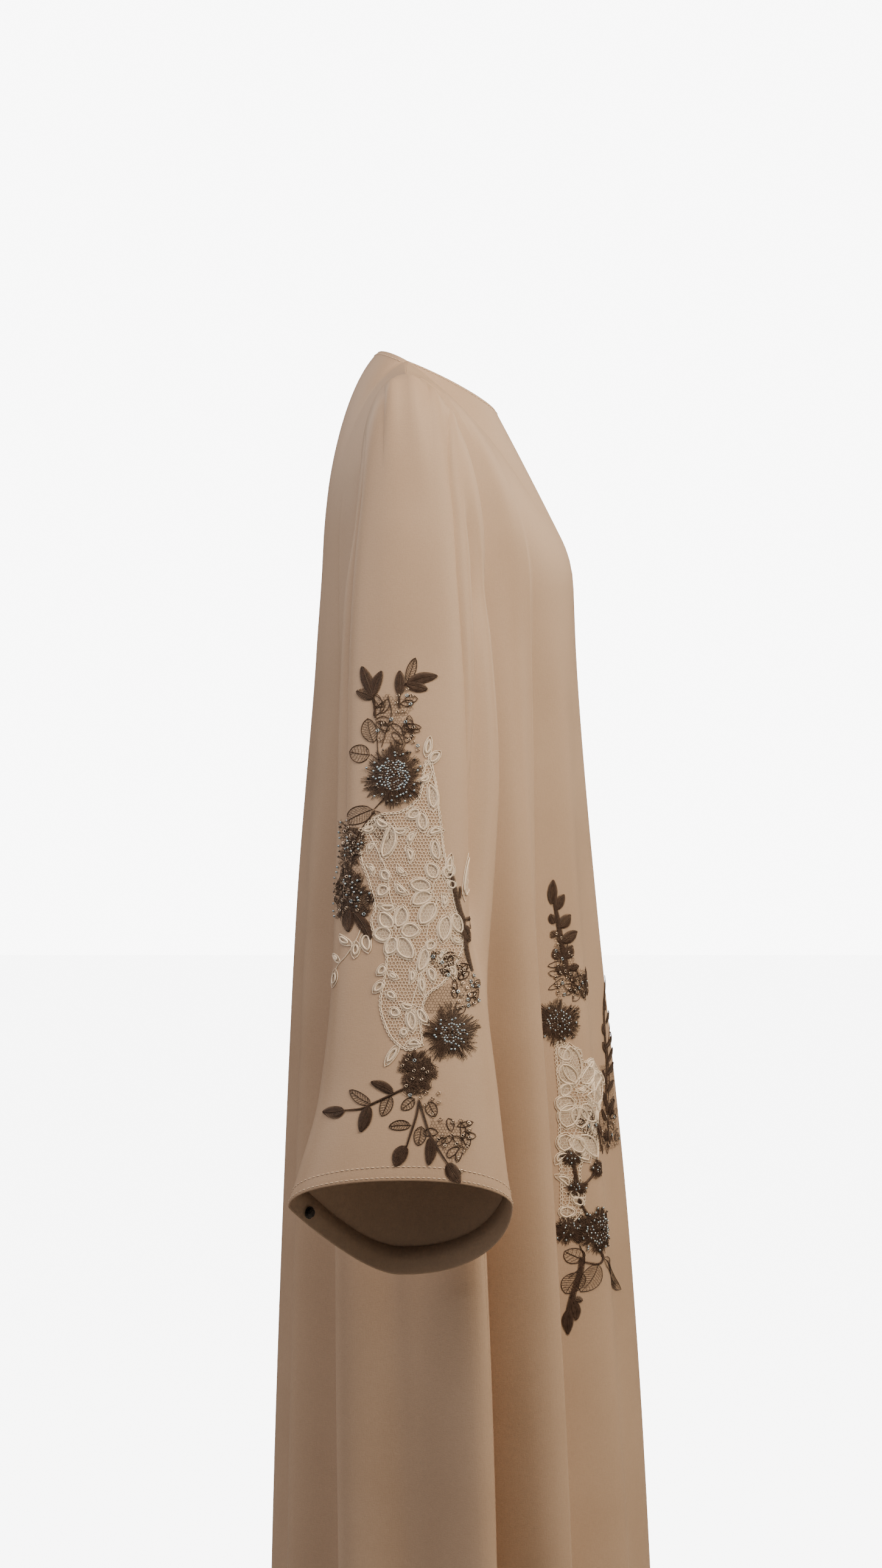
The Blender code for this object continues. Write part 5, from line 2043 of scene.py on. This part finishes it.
SLEEVE_TRIM = TrimPlan(
    prefix="sleeve",
    satin=rows_of(
        """
        -25.5 307.5 25 6 108; -25 307.5 21 6 71; -25 309.5 13 7 155; -3.5 307.5 20 6.5 90;
        3 297.5 25 6.5 13; 2 298 18 6.5 -16; -40 480.5 17 6 -93; -37 482.5 24 6 -61;
        48 492.5 14 7 -68; -7 621 19.5 5.5 156; -26 631 21 7 -109; -45 635 16.5 6.5 -171;
        3 661 17.5 8 -120; 35 674 18.5 7.5 -59; 22 654.5 21 6.5 -94
        """
    ),
    veined=rows_of(
        """
        3 296.5 20.5 7.5 72; -24.5 346 20 11.5 103; -27.5 356 14.5 14.5 170;
        -25 400 22.5 13.5 -151; -23.5 401 27.5 13.5 -66; -9.5 623 17 9.5 -113; -25 629.5 19 8 149;
        9.5 625.5 13 8 -142; 20.5 628 12 9 -63; 6.5 645.5 17 7.5 -176; 15 646.5 14.5 9.5 -101
        """
    ),
    petals=rows_of(
        """
        18 358.5 16 4.5 79; 20.5 363.5 12.5 5.5 48; 24 402.5 22.5 7 98; 14 400 12.5 6.5 -149;
        16.5 419 16.5 7 97; -17.5 441.5 29.5 9 73; 29 443 19 6 102; 35.5 482.5 22 9.5 -99;
        40 480.5 19 8 -70; 18.5 507.5 21 7.5 -106; 26 504 10 6 -133; 13.5 529.5 16.5 4 -81;
        20 523.5 13.5 5 -71; -12 528 9.5 3.5 -34; -14 543.5 10 4.5 -35; 5 556.5 17.5 6.5 -80;
        -10.5 556.5 9.5 6 -32; -1 578.5 7 4.5 56; 10.5 555 16 5.5 -55; -2.5 584 18.5 4.5 -124;
        -38.5 508 11.5 4 139; -46 522 9.5 3 142; -49.5 526.5 14 4 -101; -36 504 13 4 -94;
        -29 497 15.5 6 -84; -13.5 522.5 10 5 -129; -14.5 535 12 5 -132; 49.5 473.5 38.5 9.5 80;
        37 454 17 4.5 85; -11 461 11.5 7 -140; -11 457.5 10.5 6 124; -7 495 16.5 9.5 129;
        -5 495 18 9.5 75; -8 497.5 14.5 10.5 -172; -3 497 15.5 10.5 5; -4 499.5 21 11.5 -57;
        -6.5 499.5 16 9 -112; 24 463 18.5 9.5 168; 26.5 456.5 14.5 9 118; 34 456.5 12.5 8 65;
        24.5 467 18.5 9.5 -155; 25.5 472.5 21 11.5 -122; 35.5 462 7 6 25
        """
    ),
    lace_outlines=shapes_of(
        """
        19.5 361; 25 378; 27 395.5; 29.5 412.5; 32 434.5; 37 454; 40.5 473; 45 490; 47.5 506.5;
        40 525.5; 30.5 537.5; 20 544.5; 15.5 554; 13.5 568; 14.5 583; 5 588; -3 584; -10.5 575.5;
        -16 561; -17 549.5; -13.5 530.5; -12 516; -13 505.5; -21.5 499.5; -24.5 487.5; -21.5 478;
        -27.5 454; -32 441.5; -33 427; -29.5 414; -18.5 405; -1.5 402.5; 13 390.5; 16.5 370.5
        """
    ),
    lace_cords=shapes_of(
        """
        -31.5 491.5; -36 504; -42 516; -48.5 525.5; -51 538 | 16.5 367; 22 361; 24 368.5;
        27 385.5; 28.5 405; 31.5 427; 34.5 441.5 | -27 420; -19 436; -12 452; -11 466; -6 484;
        -5.5 497 | 28 470; 22 486; 19 500; 20 516; 14 532; 8 550; 5 570
        """
    ),
    lace_rings=rows_of("30.2 463.8 6.6 9.5"),
    stems=headed_of(
        """
        5: 38 451.5; 42 468; 45 480.5; 47.5 487.5; 48 492.5; 50.5 511.5; 55 528 | 3.5: 47.5 488;
        58 487.5; 60.5 495.5 | 2: 45.5 470.5; 45.5 462 | 2: 2 617.5; -9.5 623; -24.5 630;
        -32.5 633.5; -45 635 | 2: 13 627; 11 638.5; 6 653.5; 3 663 | 2: 13.5 628; 18 642.5;
        22 653.5; 29.5 666; 35.5 675 | 2: -23 326; -24 316; -25 307 | 2: -3.5 318; -3.5 307.5;
        0.5 299.5; 5.5 296
        """
    ),
    cords=shapes_of(
        """
        -15 390.5; -23.5 400 | -22 340; -21 352; -20 362 | -23 402; -30 411; -36 424; -39 444;
        -40 462; -39 482 | -13 308; -10 322; -14 336; -18 350
        """
    ),
    scribbles=headed_of(
        """
        17 13: -23.5 312.5; -13 306; -7 311; 8 310; 8 318.5; 2 325; -1.5 326; 5.5 328.5; 9.5 336;
        9.5 346; 3.5 343.5; -13 347; -20 346; -21.5 328.5 | 11 9: 21.5 511.5; 31.5 512.5;
        50 514.5; 51.5 521; 50 530.5; 40 534; 31.5 529; 21 521 | 9 9: 39 534; 52 529; 59.5 534;
        60.5 542.5; 59.5 554; 51 558; 41.5 559; 43.5 549.5; 37.5 542.5 | 11 11: 22 637.5; 30 644;
        52 642.5; 54.5 650.5; 51 660; 43.5 670.5; 38 674; 28.5 662.5; 22 653
        """
    ),
    tufts=headed_of(
        """
        713 5: -48.5 412.5; -40.5 414; -35 415.5; -31.5 420.5; -30 427; -33 434.5; -34.5 441.5;
        -40.5 447.5; -33 452.5; -30.5 461; -24 467; -23 473; -27 475.5; -25.5 481; -29.5 486;
        -36.5 482.5; -39 480.5; -45 486; -51 487.5; -50 479; -54.5 473; -54 464.5; -50 452.5;
        -49.5 441.5; -50 429.5 | 390 6.5: -1.5 599; 4 591; 12.5 589; 20.5 592.5; 25.5 600.5;
        26 608.5; 22 613.5; 20.5 620; 9.5 621.5; 3 620; 0 612.5; 2 607; -2 603
        """
    ),
    nets=shapes_of(
        """
        16 549.5; 23 542.5; 37.5 537.5; 43.5 547; 42.5 555.5; 30.5 559; 18.5 561; 15 556.5 |
        -54 409; -40.5 409; -35 413.5; -30 427; -34.5 441.5; -30.5 461; -21 473; -29.5 486;
        -51 487.5; -54.5 473; -50 452.5; -50 429.5
        """
    ),
    blooms=rows_of("-7.7 373.2 24.6 6 434 1.14; 37.7 576.2 23.4 5 294 1"),
    rings=rows_of(
        """
        -4.5 308; 3 303; 2.5 308; 6.5 308.5; -6 314; 5.5 315; -5 321.5; 0 321; -10 327.5;
        -17 330.5; 1.5 329.5; 8 334; -21 336.5; 7 341; -19 344; 4.5 344; 8 346; 11.5 349;
        11.5 352.5; -39.5 421; -41.5 427.5; -37.5 427; -44.5 431.5; -38 436; -47 409.5; -42 415;
        -48.5 418; -49 427.5; -42 454; -47.5 472.5; -39 473.5; -34 473.5; -35 480.5; -42 479;
        -30.5 483.5; -49 481; -54 464; -55 470.5; -51 443; 24 513; 28.5 513.5; 31 514.5; 34.5 517;
        40 516; 44 517; 24 516.5; 24 520.5; 27 523.5; 31 521; 37.5 522.5; 33 527; 36.5 526.5;
        44.5 524; 48 527; 45 528.5; 39.5 530; 48.5 530.5; 41.5 533.5; 36 531; 56 532; 53.5 536.5;
        47 537.5; 40.5 539.5; 57.5 538; 50.5 541.5; 40 544; 43.5 544; 59.5 540.5; 46.5 547;
        52 546.5; 56.5 547.5; 59.5 551.5; 51 550.5; 56 553.5; 44.5 551.5; 51.5 555; 46.5 556;
        43 556.5; 54.5 540; 5.5 593; 3.5 596; 9.5 596.5; 0 600.5; 9 604.5; 16 603; 19.5 605.5;
        8 610.5; 15 611; 3 616; 6 623; 14.5 624.5; 19 621; 23.5 626; 28.5 621.5; 28.5 628.5;
        18 630.5; 23 637.5; 30 641.5; 39 643.5; 45.5 642.5; 51.5 644.5; 52 650; 52 655.5; 51 660;
        50 663; 47.5 666; 43.5 670.5; 46 680.5; 31 653.5; 38.5 653.5; 46.5 654; 28 656.5; 33 661;
        42 660
        """
    ),
    spreads=rows_of(
        """
        -7.5 373 12.5 23 112 39; 37.5 576 7.5 13 42 24; -40 430 5 9 10 12; -38 466 6 13 13 18
        """
    ),
    edge_beads=rows_of(
        """
        -50.5 411; -51 414.5; -51.5 419; -51 423.5; -51.5 430; -51 434; -51.5 438.5; -52 447;
        -52.5 451; -54 455.5; -55.5 460; -56 466.5; -56 476; -54.5 482; -53 486
        """
    ),
    replaced_lace=("lace_sleeve",),
    replaced_thread=("spray_upper_sleeve", "spray_lower_sleeve"),
    seed=5,
)

FRONT_TRIM = TrimPlan(
    prefix="front",
    satin=rows_of(
        """
        -132 484 21 6.6 85; -128 489 15 6.6 59; -130 501 9 5.6 116; -126 504 15 7.7 42;
        -129 512 6 5.6 137; -125 517 19 7.1 25; -123 531 13 7.7 52; -127 532 10 6.1 116;
        -119 541 10 5.1 11; -125 543 7 5.1 138; -129 827 8 4.1 151; -135 825 18 4.3 -85;
        -137 833 21 5.1 -95; -44 584 11 3.1 90; -50 605 10 3.3 99; -45 595 17 3.3 36;
        -51 616 27 3.6 24; -50 621 11 3.3 113; -50 630 21 3.8 34; -52 640 17 3.8 32;
        -56 648 13 3.8 104; -54 656 15 4.1 38; -58 667 13 4.1 108; -56 675 16 4.6 44;
        -60 680 14 4.1 128
        """
    ),
    veined=rows_of(
        """
        -111 792 67 14.3 -36; -116 797 26 14.8 -121; -126 792 14 13.3 144; -128 803 20 13.8 -122
        """
    ),
    petals=rows_of(
        """
        -122 643 34 14.8 93; -121 643 21 12.8 114; -119 642 28 13.3 40; -117 646 53 13.8 5;
        -118 651 48 12.8 -11; -119 657 22 11.7 -52; -123 659 20 12.8 -82; -125 657 21 13.3 -105;
        -125 651 15 12.8 -126; -125 647 8 11.2 159; -112 625 15 6.6 8; -125 622 15 8.7 112;
        -123 683 27 11.7 -56; -126 685 24 10.2 -67; -129 685 17 10.2 -63; -131 682 16 10.2 -98;
        -132 737 6 7.7 21; -134 745 10 9.2 -99; -130 744 7 7.7 38; -67 636 14 6.1 -53
        """
    ),
    lace_outlines=shapes_of(
        """
        -133 606; -124 609; -115 613; -113 623; -85 624; -65 640; -65 658; -86 671; -105 679;
        -104 695; -108 705; -119 701; -125 719; -123 738; -128 756; -137 758; -136 729; -135 690;
        -133 650
        """
    ),
    lace_cords=shapes_of(
        """
        -132 611; -128 624; -124 640; -121 648 | -121 648; -120 664; -125 682; -130 698; -132 719;
        -132 737; -135 755 | -98 627; -97 643; -106 660; -116 678; -114 694
        """
    ),
    stems=headed_of(
        """
        5: -121 545; -123 529; -125 515; -127 497; -130 481 | 4: -127 790; -129 803; -134 820;
        -138 838; -139 854 | 3.2: -32 554; -45 578; -49 605; -51 632; -57 659; -58 680; -58 702 |
        3: -128 706; -127 719; -127 730; -125 745; -117 762 | 2.6: -109 716; -121 727; -126 732 |
        2.4: -114 784; -111 792; -116 797; -126 794
        """
    ),
    cords=shapes_of(
        """
        -121 670; -116 665; -108 668; -113 676; -120 680 | -115 665; -107 674; -100 685;
        -108 692 | -32 596; -46 616; -49 643; -56 670 | -128 779; -126 794; -136 807
        """
    ),
    scribbles=headed_of(
        """
        22 13: -131 511; -125 515; -113 525; -114 540; -78 548; -74 559; -105 568; -121 562;
        -131 567; -132 545 | 14 10: -122 545; -78 548; -74 559; -105 568; -121 564 |
        19 10: -73 670; -43 669; -44 688; -43 705; -55 707; -101 702; -106 687 | 14 9: -121 667;
        -105 665; -91 681; -105 692; -117 688; -122 677 | 11 8: -63 631; -38 631; -43 661;
        -50 673; -68 671
        """
    ),
    blooms=rows_of(
        """
        -132 586 20.9 6 322 1; -112 768 20.9 6 434 1; -134 766 12.8 5 182 1.1;
        -129 704 8.4 5 105 1; -108 716 9.2 5 125 1; -127 730 8.4 5 105 1; -53 673 5.6 5 49 1;
        -64 693 6.6 5 56 1
        """
    ),
    rings=rows_of(
        """
        -125 514; -129 510; -128 520; -130 525; -125 532; -131 529; -129 538; -124 538; -119 527;
        -116 530; -127 544; -131 548; -131 554; -126 553; -122 549; -130 561; -125 563; -120 559;
        -107 546; -89 554; -106 554; -113 551; -117 565; -105 564; -111 558; -119 545; -123 543;
        -92 560; -115 560; -129 556; -57 686; -60 677; -48 679; -45 690; -54 694; -50 703;
        -71 697; -59 703; -73 688; -50 684; -43 699; -65 682; -105 687; -117 673; -114 678;
        -108 671; -120 676; -112 686; -105 678
        """
    ),
    spreads=rows_of(
        """
        -131 586 9.7 18.4 46 16; -112 768 11.7 20.4 62 26; -129 704 3.1 6.1 5 3;
        -108 716 3.6 6.6 6 3; -127 730 3.1 6.1 5 3; -134 766 4.6 10.2 8 8
        """
    ),
    replaced_lace=("lace_front",),
    replaced_thread=("spray_front", "spray_edge"),
    seed=17,
)


@dataclass(frozen=True)
class SnapButton:
    """A black faceted snap on the inside of a cuff, behind the arm."""

    sleeve: BellSleeve
    radius: float = 0.0050
    flange: float = 0.0009
    turn: float = 0.715
    along: float = 0.984
    under: float = 0.0021  # its base below the outer cloth

    def build(self, side: Side, finish: Material) -> Object:
        """Model the snap, then set it on the cuff.

        Args:
            side: Which cuff.
            finish: Its material.

        Returns:
            The snap.
        """
        bpy.ops.object.select_all(action="DESELECT")
        bpy.ops.mesh.primitive_cylinder_add(
            vertices=24, radius=self.radius, depth=self.flange, location=(0, 0, self.flange / 2)
        )
        snap = bpy.context.object
        snap.name = f"snap_button_{side.value}"
        only_active(snap)
        bpy.ops.object.transform_apply(location=True, rotation=False, scale=False)
        self.raise_crown(snap)
        soft = snap.modifiers.new("soft edge", "BEVEL")
        soft.width, soft.segments = 0.00018, 2
        bpy.ops.object.modifier_apply(modifier=soft.name)
        turn, along = np.array(self.turn), np.array(self.along)
        normal = self.sleeve.normal(turn, along)
        base = self.sleeve.surface(turn, along) - self.under * normal
        facing = Vector(-normal * side.flip).to_track_quat("Z", "Y").to_matrix().to_4x4()
        snap.data.transform(Matrix.Translation(Vector(base * side.flip)) @ facing)
        snap.data.materials.append(finish)
        return snap

    def raise_crown(self, snap: Object) -> None:
        """Inset and raise the top into a faceted crown."""
        bpy.ops.object.mode_set(mode="EDIT")
        bpy.ops.mesh.select_mode(type="FACE")
        bpy.ops.mesh.select_all(action="DESELECT")
        bpy.ops.object.mode_set(mode="OBJECT")
        for face in snap.data.polygons:
            face.select = face.normal.z > 0.9
        bpy.ops.object.mode_set(mode="EDIT")
        bpy.ops.mesh.inset(thickness=0.22 * self.radius)
        for height, inset in ((0.0014, 0.10), (0.0009, 0.22), (0.0004, 0.16)):
            bpy.ops.mesh.extrude_region_move(TRANSFORM_OT_translate={"value": (0, 0, height)})
            bpy.ops.mesh.inset(thickness=inset * self.radius)
        bpy.ops.object.mode_set(mode="OBJECT")


@dataclass(frozen=True)
class StitchRow:
    """Machine stitches in a row."""

    pitch: float = 0.0040
    proud: float = 0.00020

    def sew(
        self, name: str, points: Array, normals: Array, finish: Material
    ) -> Object:
        """Sew along a line over the cloth.

        Args:
            name: Name of the piece.
            points: Close points along the line (point, 3).
            normals: Outward direction at each.
            finish: Material of the thread.

        Returns:
            The row of stitches.
        """
        reach = np.concatenate([[0], np.cumsum(np.linalg.norm(np.diff(points, axis=0), axis=1))])
        count = int(reach[-1] / self.pitch)
        at = (np.arange(count) + 0.5) * reach[-1] / count

        def along(values: Array, where: Array) -> Array:
            """Values at distances along the line."""
            return np.stack([np.interp(where, reach, values[:, k]) for k in range(3)], -1)

        normal = unit(along(normals, at))
        heading = along(points, at + 0.0005) - along(points, at - 0.0005)
        places = along(points, at) + self.proud * normal
        return Trinket.stitch().copies(name, places, normal, heading, [finish])


@dataclass(frozen=True)
class Sewing:
    """The rows of stitches that show on the cloth."""

    body: CloakBody
    sleeve: BellSleeve
    finish: Material
    cuff_rows: tuple[float, ...] = (0.0025, 0.0110)
    hem_row: float = 0.0250
    neck_row: float = 0.0045
    row: StitchRow = StitchRow()

    @staticmethod
    def line_inside(
        garment: CloakBody | BellSleeve, across: Array, edge: float, way: float
    ) -> tuple[Array, Array]:
        """A line a fixed way in from an edge that runs round the cloth.

        Args:
            garment: What the edge belongs to.
            across: Places round the edge.
            edge: Where the edge lies down the cloth.
            way: How far in the line runs.

        Returns:
            Points and outward directions.
        """
        rim = np.full(len(across), edge)
        inward = STEP if edge == 0 else -STEP
        tall = np.linalg.norm(
            garment.surface(across, rim + inward) - garment.surface(across, rim), axis=-1
        ) / STEP
        down = rim + math.copysign(way, inward) / tall
        return garment.surface(across, down), garment.normal(across, down)

    def cuff(self, side: Side) -> list[Object]:
        """Rows round a cuff."""
        rows = []
        for number, way in enumerate(self.cuff_rows):
            points, normals = self.line_inside(self.sleeve, np.linspace(0, 1, 400), 1.0, way)
            name = f"cuff_stitches_{number + 1}_{side.value}"
            rows.append(
                declare(
                    self.row.sew(name, points * side.flip, normals * side.flip, self.finish),
                )
            )
        return rows

    def neck(self) -> Object:
        """The row round the neck: one front, the back and the other front."""
        neck, start = self.body.at_neck, self.body.front_opening
        parts = []
        for low, high in ((start, neck), (1 - neck, 1 + neck), (2 - neck, 2 - start)):
            across = np.linspace(low, high, 200)
            parts.append(self.line_inside(self.body, across, 0.0, self.neck_row))
        points = np.concatenate([part[0] for part in parts])
        normals = np.concatenate([part[1] for part in parts])
        return declare(self.row.sew("neck_stitches", points, normals, self.finish))

    def hem(self) -> Object:
        """The row round the hem."""
        start = self.body.front_opening + 0.004
        across = np.linspace(start, 2 - start, 900)
        points, normals = self.line_inside(self.body, across, 2.0, self.hem_row)
        return declare(self.row.sew("hem_stitches", points, normals, self.finish))


# ---------------------------------------------------------------- the cloak


@dataclass(frozen=True)
class Cloth:
    """The five cut and sewn pieces of cloth."""

    body: CloakBody
    sleeve: BellSleeve
    finish: Material
    half_columns: tuple[int, int, int] = (20, 22, 14)
    back_columns: tuple[int, int, int] = (14, 26, 16)
    yoke_rows: int = 26
    skirt_rows: int = 92
    sleeve_rows: int = 96
    sleeve_columns: int = 78
    seam: TurnedEdge = TurnedEdge(0.004)
    front_edge: TurnedEdge = TurnedEdge(0.012)
    hem: TurnedEdge = TurnedEdge(0.025)
    cuff: TurnedEdge = TurnedEdge(0.011)

    def half_girths(self, columns: tuple[int, int, int], behind: bool) -> Array:
        """Lines from the middle to the side seam, through each landmark of the top edge.

        Args:
            columns: How many lines to the neck, to the shoulder tip and to the side seam.
            behind: Whether they are the back's.

        Returns:
            Distances round the body from its middle.
        """
        neck, tip = self.body.at_neck, self.body.at_shoulder_tip
        side = self.body.at_side_seam - self.body.side_gap / 2
        regular = np.concatenate(
            [
                np.linspace(0, neck, columns[0], endpoint=False),
                np.linspace(neck, tip, columns[1], endpoint=False),
                np.linspace(tip, side, columns[2] + 1),
            ]
        )
        close = np.concatenate([tuck.lines() for tuck in self.body.tucks])
        return woven_lines(regular, 1 - close if behind else close)

    def body_rows(self) -> Array:
        """Lines down the body."""
        yoke = np.linspace(0, 1, self.yoke_rows, endpoint=False)
        return np.concatenate([yoke, np.linspace(1, 2, self.skirt_rows + 1)])

    def panel(self, name: str, girths: Array, start: TurnedEdge, end: TurnedEdge) -> Object:
        """One panel of the body."""
        across = Axis.between(girths, start, end)
        down = Axis.between(self.body_rows(), self.seam, self.hem)
        panel = ClothPanel(
            name, self.body.surface, self.body.normal, across, down, follow=self.body.follow
        )
        return panel.build(self.finish)

    def back(self) -> Object:
        """The back, from side seam to side seam."""
        half = self.half_girths(self.back_columns, True)
        return self.panel(
            "cloth_back", np.concatenate([1 - half[::-1], 1 + half[1:]]), self.seam, self.seam
        )

    def front(self, side: Side) -> Object:
        """A front, from its open edge to the side seam."""
        girths = np.concatenate(
            [[self.body.front_opening], self.half_girths(self.half_columns, False)[1:]]
        )
        if side is Side.RIGHT:
            return self.panel("cloth_front_right", girths, self.front_edge, self.seam)
        return self.panel("cloth_front_left", 2 - girths[::-1], self.seam, self.front_edge)

    def sleeve_tube(self, side: Side) -> Object:
        """A sleeve, from armhole to cuff."""
        close = np.concatenate([tuck.lines() % 1 for tuck in self.sleeve.tucks])
        turns = -woven_lines(np.linspace(0, 1, self.sleeve_columns + 1), 1 - close)
        across = Axis.between(turns, None, None)
        down = Axis.between(np.linspace(0, 1, self.sleeve_rows + 1), self.seam, self.cuff)
        name = f"cloth_sleeve_{side.value}"
        surface, normal = self.sleeve.surface, self.sleeve.normal
        worn = {"follow": self.sleeve.follow, "tube": True, "mirrored": side.mirrored}
        return ClothPanel(name, surface, normal, across, down, **worn).build(self.finish)


def main() -> None:
    """Build the cloak, its trimming and the studio."""
    logging.basicConfig(level=logging.INFO, format="%(name)s %(message)s")
    body = CloakBody()
    sleeve = BellSleeve(body)
    finishes = Finishes.made()
    Studio().build()
    cloth = Cloth(body, sleeve, finishes.crepe)
    sewing = Sewing(body, sleeve, finishes.sewing)
    back = declare(cloth.back(), ["back"])
    sewing.neck()
    sewing.hem()
    for side in Side:
        front = declare(cloth.front(side), [f"front_{side.value}"])
        tube = declare(cloth.sleeve_tube(side), [f"sleeve_{side.value}"])
        on_front = Trimming(FRONT_TRIM, ClothFace.of_front(body, side), side, finishes).make()
        on_sleeve = Trimming(SLEEVE_TRIM, ClothFace.of_sleeve(sleeve, side), side, finishes).make()
        snap = declare(
            SnapButton(sleeve).build(side, finishes.black), [f"snap_{side.value}"]
        )
        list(sewing.cuff(side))


if __name__ == "__main__":
    main()
